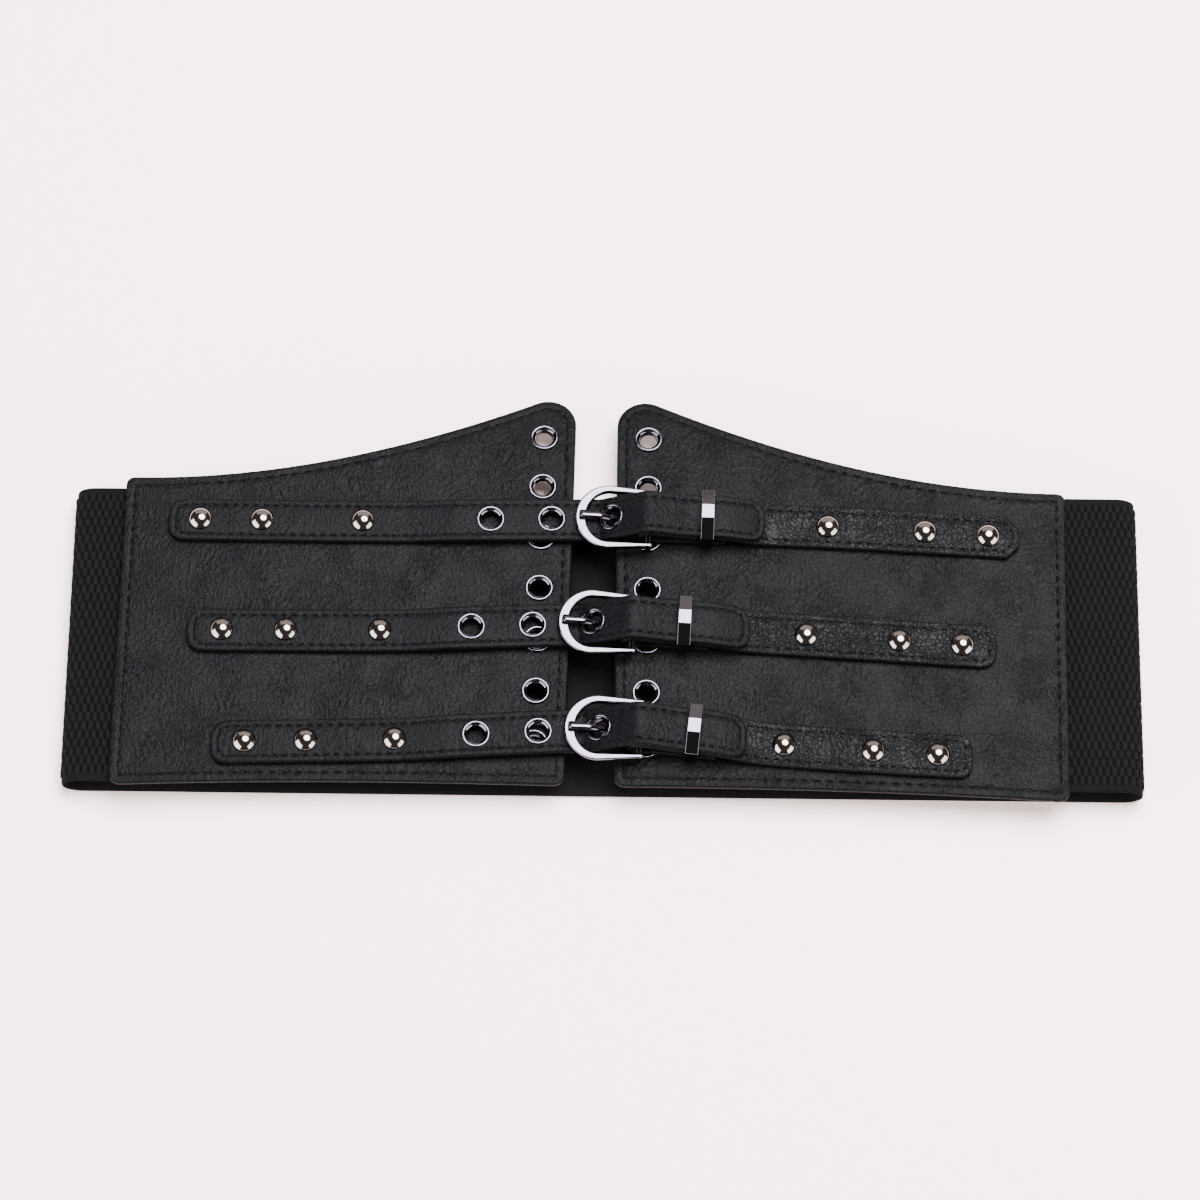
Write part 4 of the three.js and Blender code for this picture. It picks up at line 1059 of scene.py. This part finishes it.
class CORSET_OT_build_band(bpy.types.Operator):
    """Build the elastic waist band with its raised weave"""

    bl_idname = "corset.build_band"
    bl_label = "Elastic band"
    bl_options = {"REGISTER", "UNDO"}

    def execute(self, context):
        lv = levels()
        band, path = lv.band, band_line(lv)
        columns, shown = self.columns(lv, path)
        rows = np.linspace(-band.width / 2, band.width / 2, BAND_ROWS)
        s, t = np.meshgrid(columns, rows, indexing="ij")
        rib, out = self.outer_face(band, s, t, shown[:, None])
        inner_s, inner_t = np.meshgrid(columns, rows[list(BAND_INNER_ROWS)], indexing="ij")
        into = self.inner_face(band, inner_t)
        vertices = np.vstack([
            self.lay(lv, path, s, t, -out), self.lay(lv, path, inner_s, inner_t, into),
        ])
        flat = np.vstack([
            np.stack([s.ravel() / MM, t.ravel() / MM, rib.ravel()], 1),
            np.stack([inner_s.ravel() / MM, inner_t.ravel() / MM, np.ones(inner_s.size)], 1),
        ])
        faces, parts = self.skin(len(columns), len(rows), len(BAND_INNER_ROWS))
        looks = [
            material("woven elastic", elastic_material, False),
            material("woven elastic, inside", elastic_material, True),
        ]
        made = new_object("elastic_band_finish", vertices, faces, looks, flat, parts)
        finish_piece(made, "elastic_band")
        return {"FINISHED"}

    def columns(self, lv, path):
        """Stations round the waist, close together where the ribs show, and how far they show there."""
        band = lv.band
        lap = lv.front.seam_lap - RIBS_UNDER_PANEL
        fold = math.pi / 2 * (band.fold_reach + band.fold_height / 2)
        near = path.where(-band.span / 2 + band.fold_reach, last=False) + fold + RIBS_PAST_FOLD
        far_lap, far_near = path.length - lap, path.length - near
        columns = np.concatenate([
            np.linspace(0, lap, 5)[:-1], np.arange(lap, near, BAND_FINE),
            np.arange(near, far_near, BAND_COARSE),
            np.arange(far_near, far_lap, BAND_FINE), np.linspace(far_lap, path.length, 5),
        ])
        left = np.minimum(columns - lap, near - columns)
        right = np.minimum(columns - far_near, far_lap - columns)
        return columns, np.clip(np.maximum(left, right) / RIB_FADE, 0, 1)

    def outer_face(self, band, s, t, shown):
        """Height of the weave, and the outer face's distance off the band's middle line."""
        rib, plain = weave(band, s, t)
        edge = np.clip((band.width / 2 - np.abs(t)) / BAND_EDGE, 0, 1)
        rim = np.sqrt(edge * (2 - edge))
        out = band.thickness / 2 - band.relief * (1 - rib) * shown * (1 - plain) - band.selvedge_step * plain
        return rib, out * (BAND_EDGE_LEFT + (1 - BAND_EDGE_LEFT) * rim)

    def inner_face(self, band, t):
        """The plain inner face's distance off the band's middle line."""
        edge = band.width / 2 - np.abs(t)
        into = band.thickness / 2 - band.selvedge_step * (edge < band.selvedge)
        return into * np.where(edge < 0.1 * MM, BAND_EDGE_LEFT, 1)

    def skin(self, count, across, inner_across):
        """Faces of the outer grid, the inner grid and the edges between, and each face's material."""
        base = count * across
        faces, parts = [], []
        for i in range(count - 1):
            for j in range(across - 1):
                a = i * across + j
                faces.append((a, a + across, a + across + 1, a + 1))
            parts += [0] * (across - 1)
            for j in range(inner_across - 1):
                a = base + i * inner_across + j
                faces.append((a, a + 1, a + inner_across + 1, a + inner_across))
            parts += [1] * (inner_across - 1)
            a, b = i * across, base + i * inner_across
            faces.append((a, b, b + inner_across, a + across))
            a, b = a + across - 1, b + inner_across - 1
            faces.append((a, a + across, b + inner_across, b))
            parts += [0, 0]
        for i in (0, count - 1):
            cap = [i * across + j for j in range(across)]
            cap += [base + i * inner_across + j for j in range(inner_across)][::-1]
            faces.append(tuple(cap if i else cap[::-1]))
            parts.append(0)
        return faces, parts

    def lay(self, lv, path, s, t, away):
        """Places of flat points, a distance off the band's middle line."""
        point, normal = path.frame(s.ravel())
        x = point[:, 0] + normal[:, 0] * away.ravel()
        z = point[:, 1] + normal[:, 1] * away.ravel()
        c, d = math.cos(lv.band.turn), math.sin(lv.band.turn)
        y = t.ravel()
        return np.stack([x * c - y * d + lv.band.shift, x * d + y * c, z], 1) + lv.shift


class CORSET_OT_build_panels(bpy.types.Operator):
    """Build the two front panels and their seams"""

    bl_idname = "corset.build_panels"
    bl_label = "Front panels"
    bl_options = {"REGISTER", "UNDO"}

    def execute(self, context):
        lv = levels()
        outline = resample(panel_outline(lv), PANEL_STEP, closed=True)
        middle = lv.panel_top - lv.front.panel_thickness / 2
        look = material(PANEL_LEATHER.name, leather_material, *PANEL_LEATHER[1:])
        thread = material("sewing thread", thread_material)
        for seed, (word, side) in enumerate((("left", -1), ("right", 1))):
            ring = outline * (side, 1)
            if side < 0:
                ring = ring[::-1]
            holes = [circle(p, lv.hole_radius, HOLE_SIDES) for p in panel_eyelets(lv, side)]

            def place(points, height):
                z = middle + lv.drape(points[:, 0], points[:, 1]) + height
                return np.column_stack([points, z]) + lv.shift

            sheet = Sheet(
                ring, holes, lv.front.panel_thickness, lv.front.stitch_inset, lv.front.stitch_pitch, place,
                PANEL_CROWN, PANEL_WAVE, PANEL_SPACING,
            )
            made = sheet.build(f"{word}_panel_finish", look, seed)
            finish_piece(made, f"{word}_panel")
            seam = sheet.stitches(f"{word}_panel_seam", thread)
        return {"FINISHED"}


def circle(centre, radius, count):
    """Points of a whole circle."""
    turn = np.linspace(0, 2 * math.pi, count, endpoint=False)
    return np.array(centre) + radius * np.stack([np.cos(turn), np.sin(turn)], 1)


class CORSET_OT_build_straps(bpy.types.Operator):
    """Build the tongue straps, the folded buckle straps and their seams"""

    bl_idname = "corset.build_straps"
    bl_label = "Straps"
    bl_options = {"REGISTER", "UNDO"}

    def execute(self, context):
        lv = levels()
        for seed, row in enumerate(Row(lv, tier) for tier in TIERS):
            self.strap(lv, row, row.tongue, "tongue_strap", seed + 2)
            self.strap(lv, row, row.buckle, "buckle_strap", seed + 5)
        return {"FINISHED"}

    def strap(self, lv, row, path, word, seed):
        """One strap, cut flat with its holes, then laid along its middle line."""
        s = lv.strap
        if word == "tongue_strap":
            leather, (line, holes) = TONGUE_LEATHER, self.tongue(lv, row, path)
        else:
            leather, (line, holes) = LOOP_LEATHER, self.looped(lv, row, path)

        def place(points, height):
            at, normal = path.frame(points[:, 0])
            x = at[:, 0] + normal[:, 0] * height
            z = at[:, 1] + normal[:, 1] * height
            return np.column_stack([x, row.lateral(x) + points[:, 1], z]) + lv.shift

        sheet = Sheet(
            resample(line, STRAP_STEP, closed=True), holes, s.thickness, s.stitch_inset, s.stitch_pitch,
            place, STRAP_CROWN, STRAP_WAVE, STRAP_SPACING,
        )
        node = f"{word}_{row.tier.name}"
        look = material(leather.name, leather_material, *leather[1:])
        made = sheet.build(f"{node}_finish", look, seed)
        finish_piece(made, node)
        sheet.stitches(f"{node}_seam", material("sewing thread", thread_material))

    def tongue(self, lv, row, path):
        """Flat outline and eyelet holes of a tongue strap."""
        half, r = lv.strap.width / 2, lv.strap.corner
        line = [np.array([r, -half]), *self.right_end(path.length, half, r, 12), np.array([r, half])]
        line += curve_to(line[-1], (0, half), (0, half - r)) + [np.array([0, r - half])]
        line += curve_to(line[-1], (0, -half), (r, -half))[:-1]
        return line, [circle((path.where(x), 0), lv.hole_radius, HOLE_SIDES) for x in row.holes]

    def looped(self, lv, row, path):
        """Flat outline of a buckle strap, and its slot, which runs over the bar from layer to layer."""
        half, corner = lv.strap.width / 2, row.tier.corner * lv.strap.corner
        line = [(0, -half), *self.right_end(path.length, half, corner, row.tier.facets), (0, half)]
        edge = row.bar + lv.buckle.slot_length / 2
        ends = [(path.where(edge, last=False), 0), (path.where(edge), 0)]
        along = resample(ends, SLOT_STEP)[:, 0]
        middle, reach = row.bar_y - float(row.lateral(row.bar)), lv.buckle.slot_width / 2
        low, high = np.full(len(along), middle - reach), np.full(len(along), middle + reach)
        return line, [np.vstack([np.stack([along, low], 1), np.stack([along[::-1], high], 1)])]

    def right_end(self, end, half, corner, facets):
        """Outline of a strap's right end, upwards, with cut or rounded corners."""
        low, high = np.array([end - corner, -half]), np.array([end, half - corner])
        up = curve_to(low, (end, -half), (end, corner - half), facets)
        return [low, *up, high, *curve_to(high, (end, half), (end - corner, half), facets)]


class CORSET_OT_build_buckles(bpy.types.Operator):
    """Build the buckle frames, their bars and prongs"""

    bl_idname = "corset.build_buckles"
    bl_label = "Buckles"
    bl_options = {"REGISTER", "UNDO"}

    def execute(self, context):
        lv = levels()
        look = plate_material()
        # Painted shade: the bar is painted nearly black for the shade that it lies in.
        pin = material("blackened steel pin", metal_material, context.scene.corset_colours.pin, BAR_SHADE_ROUGH)
        frame_data, prong_data = self.frame_mesh(lv), self.prong_mesh(lv, Row(lv, TIERS[0]))
        for row in (Row(lv, tier) for tier in TIERS):
            height = lv.panel_top + float(lv.drape(row.bar, row.bar_y)) + lv.bar_height
            at = Vector((row.bar, row.bar_y, height)) + Vector(lv.shift)
            pose = Matrix.Translation(at) @ Matrix.Rotation(row.turn, 4, "Z")
            for word, data in (("buckle_frame", frame_data), ("prong", prong_data)):
                node = f"{word}_{row.tier.name}"
                made = new_object(f"{node}_finish", *data[:2], [look, pin], parts=data[2])
                made.matrix_world = pose
                finish_piece(made, node)
        return {"FINISHED"}

    def frame_mesh(self, lv):
        """The horseshoe with its rounded edges and notch, and the bar between its legs."""
        b = lv.buckle
        end, outer = b.frame_length - b.bar_radius, b.frame_width / 2
        inner, bend, tip, half = outer - b.side_band, end - outer, b.bar_spread / 2, b.frame_thickness / 2
        close, open_again = FRAME_CLOSE_TURN
        turn = np.radians(np.concatenate([
            np.linspace(0, close, 14)[1:], np.linspace(close, open_again, 17)[1:],
            np.linspace(open_again, 180, 14)[1:],
        ]))
        leg = []
        for t in np.linspace(0, 1, 9):
            x = b.bar_radius + t * (-bend - b.bar_radius)
            leg.append(((x, tip + t * (outer - tip)), (x, tip - b.tip_band + t * (inner - tip + b.tip_band))))
        bow = [
            (
                (-bend - (end - bend) * math.sin(t), outer * math.cos(t)),
                (-bend - (end - bend - b.end_band) * math.sin(t), inner * math.cos(t)),
            )
            for t in turn
        ]
        mirrored = [((ox, -oy), (ix, -iy)) for (ox, oy), (ix, iy) in leg[-2::-1]]
        sections = [self.frame_section(b, half, np.array(o), np.array(i)) for o, i in leg + bow + mirrored]
        sections = [self.notched(b, end, half, section) for section in sections]
        sections = [self.leg_tip(sections[0])] + sections + [self.leg_tip(sections[-1])]
        vertices, faces = tube(sections)
        ring = circle((0, 0), b.bar_radius, BAR_SIDES)
        bar_end = tip - b.tip_band * BAR_INSIDE
        more, more_faces = tube([
            np.column_stack([ring[:, 0] * k, np.full(BAR_SIDES, y * bar_end), ring[:, 1] * k])
            for y, k in BAR_ENDS
        ])
        # The bar's faces take the second material, which is painted shade.
        parts = [0] * len(faces) + [1] * len(more_faces)
        faces += [tuple(i + len(vertices) for i in f) for f in more_faces]
        return np.vstack([vertices, more]), faces, parts

    def frame_section(self, b, half, outer, inner):
        """The frame's section between its outer and inner outline: a rounded face on a bevelled back."""
        width = np.linalg.norm(outer - inner)
        r, low = min(b.edge_round, width * FRAME_ROUND_MOST), half - 0.5 * b.edge_round
        corner = np.radians([0, 30, 60, 90])
        top = [(1 - (r - r * math.sin(a)) / width, half - r + r * math.cos(a)) for a in corner[::-1]]
        top += [(1 - w, half) for w in np.linspace(r / width, 1 - r / width, 9)[1:-1]]
        top += [((r - r * math.sin(a)) / width, half - r + r * math.cos(a)) for a in corner]
        back = [(0, -low), (FRAME_BACK_BEVEL, -half), (1 - FRAME_BACK_BEVEL, -half), (1, -low)]
        return np.array([(*(inner + (outer - inner) * w), z) for w, z in top + back])

    def notched(self, b, end, half, section):
        """Sinks the face where the prong rests."""
        x, y, z = section.T
        low, high = -end + NOTCH_START * b.end_band, -end + (b.notch_place + 0.5) * b.end_band
        ahead = np.clip((x - low) / NOTCH_SOFT + 0.5, 0, 1) * np.clip((high - x) / NOTCH_SOFT + 0.5, 0, 1)
        beside = np.clip((b.notch_width / 2 - np.abs(y)) / NOTCH_SOFT + 0.5, 0, 1)
        depth = b.notch_depth * ahead * beside * (z > 0)
        return np.column_stack([x, y, np.minimum(z, half - depth)])

    def leg_tip(self, section):
        """A leg's rounded end."""
        middle = section.mean(0)
        return middle + (section - middle) * LEG_TIP_SCALE + (LEG_TIP, 0, 0)

    def prong_mesh(self, lv, row):
        """The prong: a ring round the bar and a shank of oval wire, in the frame's own place."""
        b = lv.buckle
        r = b.bar_radius + lv.front.clearance + b.prong_thickness / 2
        kink = b.bar_radius + b.prong_level - b.frame_length
        low = kink + b.prong_turn
        level = lv.prong_height - lv.bar_height
        path = Path(rounded([
            (-b.frame_length + b.bar_radius + b.end_band / 2, level), (kink, level),
            (low, row.prong_at(-low) - lv.bar_height),
            (PRONG_HEEL_REACH * r * math.cos(PRONG_HEEL), PRONG_HEEL_REACH * r * math.sin(PRONG_HEEL)),
            (r * math.cos(PRONG_FOOT), r * math.sin(PRONG_FOOT)),
        ], b.prong_ease))
        tip_at, tip_girth = np.array(PRONG_TIP).T
        shank = np.linspace(PRONG_SHANK_START, path.length / MM, PRONG_STEPS)
        at = np.concatenate([tip_at, shank]) * MM
        girth = np.concatenate([tip_girth, np.ones(PRONG_STEPS)])
        turn = np.linspace(0, 2 * math.pi, PRONG_SIDES, endpoint=False)
        sections = []
        for p, n, g in zip(*path.frame(at), girth):
            across, up = b.prong_width / 2 * g * np.cos(turn), b.prong_thickness / 2 * g * np.sin(turn)
            sections.append(np.column_stack([p[0] + n[0] * up, across, p[1] + n[1] * up]))
        vertices, faces = tube(sections)
        sections = []
        for t in np.linspace(0, 2 * math.pi, PRONG_RING_STEPS, endpoint=False):
            across, up = b.prong_width / 2 * np.cos(turn), r + b.prong_thickness / 2 * np.sin(turn)
            sections.append(np.column_stack([up * math.cos(t), across, up * math.sin(t)]))
        more, more_faces = tube(sections, closed=True)
        faces += [tuple(i + len(vertices) for i in f) for f in more_faces]
        return np.vstack([vertices, more]), faces, [0] * len(faces)


class CORSET_OT_build_keepers(bpy.types.Operator):
    """Build the three roofed keepers"""

    bl_idname = "corset.build_keepers"
    bl_label = "Keepers"
    bl_options = {"REGISTER", "UNDO"}

    def execute(self, context):
        lv = levels()
        b = lv.buckle
        inner = lv.strap.width / 2 + KEEPER_CLEARANCE * lv.front.clearance
        outer = inner + b.keeper_thickness
        shoulder = lv.kept_tongue + lv.strap.thickness / 2 + lv.front.clearance + b.keeper_thickness / 4
        low, high, ridge = lv.keeper_bottom, shoulder + b.keeper_crown, b.keeper_flat / 2
        out = self.section(outer, low, shoulder, high, ridge)
        into = self.section(inner, low + b.keeper_thickness, shoulder, high - b.keeper_thickness, ridge)
        look = plate_material()
        vertices, faces = self.loop(b.keeper_length / 2, out, into)
        for row in (Row(lv, tier) for tier in TIERS):
            node = f"keeper_{row.tier.name}"
            made = new_object(f"{node}_finish", vertices, faces, [look])
            y = float(row.lateral(row.keeper))
            lean = math.atan((float(row.lateral(row.keeper + MM)) - y) / MM)
            at = Vector((row.keeper, y, lv.panel_top + float(lv.drape(row.keeper, y)))) + Vector(lv.shift)
            made.matrix_world = Matrix.Translation(at) @ Matrix.Rotation(lean, 4, "Z")
            made.modifiers.new("facets", "WEIGHTED_NORMAL")
            finish_piece(made, node)
        return {"FINISHED"}

    def section(self, half, low, shoulder, high, ridge):
        """Corners of a roofed section, as places along Y and Z."""
        right = [(half, low), (half, shoulder), (ridge, high)]
        return right + [(-y, z) for y, z in right[::-1]]

    def loop(self, reach, out, into):
        """Vertices and faces of the band between two sections, with its edges rounded."""
        mesh = bmesh.new()
        front_out, front_in, back_out, back_in = (
            [mesh.verts.new((x, y, z)) for y, z in corners]
            for x in (-reach, reach) for corners in (out, into)
        )
        count = len(out)
        for i in range(count):
            k = (i + 1) % count
            mesh.faces.new((front_out[i], back_out[i], back_out[k], front_out[k]))
            mesh.faces.new((front_in[k], back_in[k], back_in[i], front_in[i]))
            mesh.faces.new((front_out[k], front_in[k], front_in[i], front_out[i]))
            mesh.faces.new((back_out[i], back_in[i], back_in[k], back_out[k]))
        bmesh.ops.recalc_face_normals(mesh, faces=mesh.faces)
        bmesh.ops.bevel(
            mesh, geom=list(mesh.edges), offset=KEEPER_BEVEL, segments=3, profile=0.6, affect="EDGES",
            clamp_overlap=True,
        )
        vertices = [v.co[:] for v in mesh.verts]
        mesh.verts.index_update()
        faces = [[v.index for v in f.verts] for f in mesh.faces]
        mesh.free()
        return vertices, faces


class CORSET_OT_build_studs(bpy.types.Operator):
    """Build the eighteen domed studs"""

    bl_idname = "corset.build_studs"
    bl_label = "Studs"
    bl_options = {"REGISTER", "UNDO"}

    def execute(self, context):
        f = levels().fastener
        high = f.stud_height - f.stud_rim
        ball = (f.stud_radius**2 + high**2) / (2 * high)
        edge = math.asin(f.stud_radius / ball)
        turn = np.linspace(edge, 0.02, DOME_STEPS)
        dome = [(ball * math.sin(a), ball * math.cos(a) - ball + f.stud_height) for a in turn]
        profile = [(0.1 * MM, 0), (f.stud_radius * 0.94, 0), (f.stud_radius * 0.99, 0.08 * MM)] + dome
        vertices, faces = lathe(profile, ROUND_SEGMENTS)
        faces.append(tuple((len(profile) - 1) * ROUND_SEGMENTS + j for j in range(ROUND_SEGMENTS)))
        tone = context.scene.corset_colours.stud
        look = material("black nickel plate, studs", metal_material, tone, STUD_ROUGH)
        names = [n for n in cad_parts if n.startswith("stud_")]
        if not names:
            raise RuntimeError("the packed part has no studs")
        for node in names:
            middle, axis, low, _ = cad_pose(node)
            made = new_object(f"{node}_finish", vertices, faces, [look])
            finish_piece(set_upright(made, middle + axis * low, axis), node)
        return {"FINISHED"}


class CORSET_OT_build_eyelets(bpy.types.Operator):
    """Build the eyelets of the panels and straps"""

    bl_idname = "corset.build_eyelets"
    bl_label = "Eyelets"
    bl_options = {"REGISTER", "UNDO"}

    def execute(self, context):
        lv = levels()
        f = lv.fastener
        look = plate_material()
        names = [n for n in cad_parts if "_eyelet_" in n]
        if not names:
            raise RuntimeError("the packed part has no eyelets")
        bore, barrel = f.bore / 2, f.bore / 2 + f.barrel
        for word, thickness in (("panel", lv.front.panel_thickness), ("strap", lv.strap.thickness)):
            back = -thickness - lv.flange_reach
            crown = [
                (bore + (f.crown_radius - bore) * across, f.seat + f.crown_thickness * up)
                for across, up in CROWN
            ]
            profile = [(barrel, back + f.flange_thickness), (barrel, f.seat * 0.5)]
            profile += [(f.crown_radius * 0.97, f.seat * 0.6), *crown, (bore, back + 0.2 * MM)]
            profile += [(bore + 0.2 * MM, back), (f.flange_radius - 0.1 * MM, back)]
            profile += [(f.flange_radius, back + f.flange_thickness / 2)]
            vertices, faces = lathe(profile, ROUND_SEGMENTS, closed=True)
            for node in (n for n in names if n.startswith(word)):
                middle, axis, _, high = cad_pose(node)
                made = new_object(f"{node}_finish", vertices, faces, [look])
                foot = middle + axis * (high - lv.crown_proud)
                finish_piece(set_upright(made, foot, axis), node)
        return {"FINISHED"}


class CORSET_OT_build_stage(bpy.types.Operator):
    """Lay the floor and set up the lamps and the camera"""

    bl_idname = "corset.build_stage"
    bl_label = "Stage"
    bl_options = {"REGISTER", "UNDO"}

    def execute(self, context):
        studio = context.scene.corset_studio
        half = studio.floor_size / 2
        corners = [(-half, -half, 0), (half, -half, 0), (half, half, 0), (-half, half, 0)]
        floor = new_object("floor", corners, [(0, 1, 2, 3)], [material("white board", floor_material)])
        floor.location.z = -FLOOR_GAP
        for lamp in LAMPS:
            self.hang(lamp, getattr(studio, lamp.power))
        world = bpy.data.worlds.new("studio")
        context.scene.world = world
        world.use_nodes = True
        background = world.node_tree.nodes["Background"]
        background.inputs["Color"].default_value = tuple(context.scene.corset_colours.room)
        background.inputs["Strength"].default_value = studio.ambient
        back = Vector((0, -math.sin(studio.tilt), math.cos(studio.tilt)))
        turn = Matrix.Rotation(studio.yaw, 3, "Z")
        data = bpy.data.cameras.new("camera")
        data.lens, data.sensor_width, data.clip_start, data.clip_end = studio.lens, 36, 0.05, 20
        camera = bpy.data.objects.new("camera", data)
        context.scene.collection.objects.link(camera)
        context.scene.camera = camera
        camera.rotation_mode = "QUATERNION"
        camera.location = Vector(studio.target) + turn @ back * studio.distance
        camera.rotation_quaternion = (turn @ Matrix.Rotation(studio.tilt, 3, "X")).to_quaternion()
        return {"FINISHED"}

    def hang(self, lamp, power):
        """An area lamp that looks at the belt."""
        data = bpy.data.lights.new(lamp.name, "AREA")
        data.shape, data.size, data.size_y, data.energy = lamp.shape, lamp.width, lamp.height, power
        data.color = colour(lamp.code)[:3]
        made = bpy.data.objects.new(lamp.name, data)
        bpy.context.scene.collection.objects.link(made)
        made.location = lamp.place
        made.rotation_mode = "QUATERNION"
        made.rotation_quaternion = Vector(lamp.place).to_track_quat("Z", "Y")


class CORSET_PT_sidebar(bpy.types.Panel):
    """Sizes and colours of the belt and the steps that build it"""

    bl_idname = "CORSET_PT_sidebar"
    bl_label = "Corset belt"
    bl_space_type = "VIEW_3D"
    bl_region_type = "UI"
    bl_category = "Corset belt"

    def draw(self, context):
        for name, group in GROUPS.items():
            box = self.layout.box()
            box.label(text=group.__doc__)
            for key in group.__annotations__:
                box.prop(getattr(context.scene, name), key)
        column = self.layout.column()
        for operator in OPERATORS:
            column.operator(operator.bl_idname)


OPERATORS = (
    CORSET_OT_build_band, CORSET_OT_build_panels, CORSET_OT_build_straps, CORSET_OT_build_buckles,
    CORSET_OT_build_keepers, CORSET_OT_build_studs, CORSET_OT_build_eyelets, CORSET_OT_build_stage,
)


def register():
    for group in (*GROUPS.values(), *OPERATORS, CORSET_PT_sidebar):
        bpy.utils.register_class(group)
    for name, group in GROUPS.items():
        setattr(bpy.types.Scene, name, PointerProperty(type=group))


def unregister():
    for name in GROUPS:
        delattr(bpy.types.Scene, name)
    for group in reversed((*GROUPS.values(), *OPERATORS, CORSET_PT_sidebar)):
        bpy.utils.unregister_class(group)


def main():
    """Builds every piece and the stage."""
    register()
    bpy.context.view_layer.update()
    for operator in OPERATORS:
        word = operator.bl_idname.split(".")[1]
        if getattr(bpy.ops.corset, word)() != {"FINISHED"}:
            raise RuntimeError(f"{operator.bl_label} did not finish")


if __name__ == "__main__":
    main()
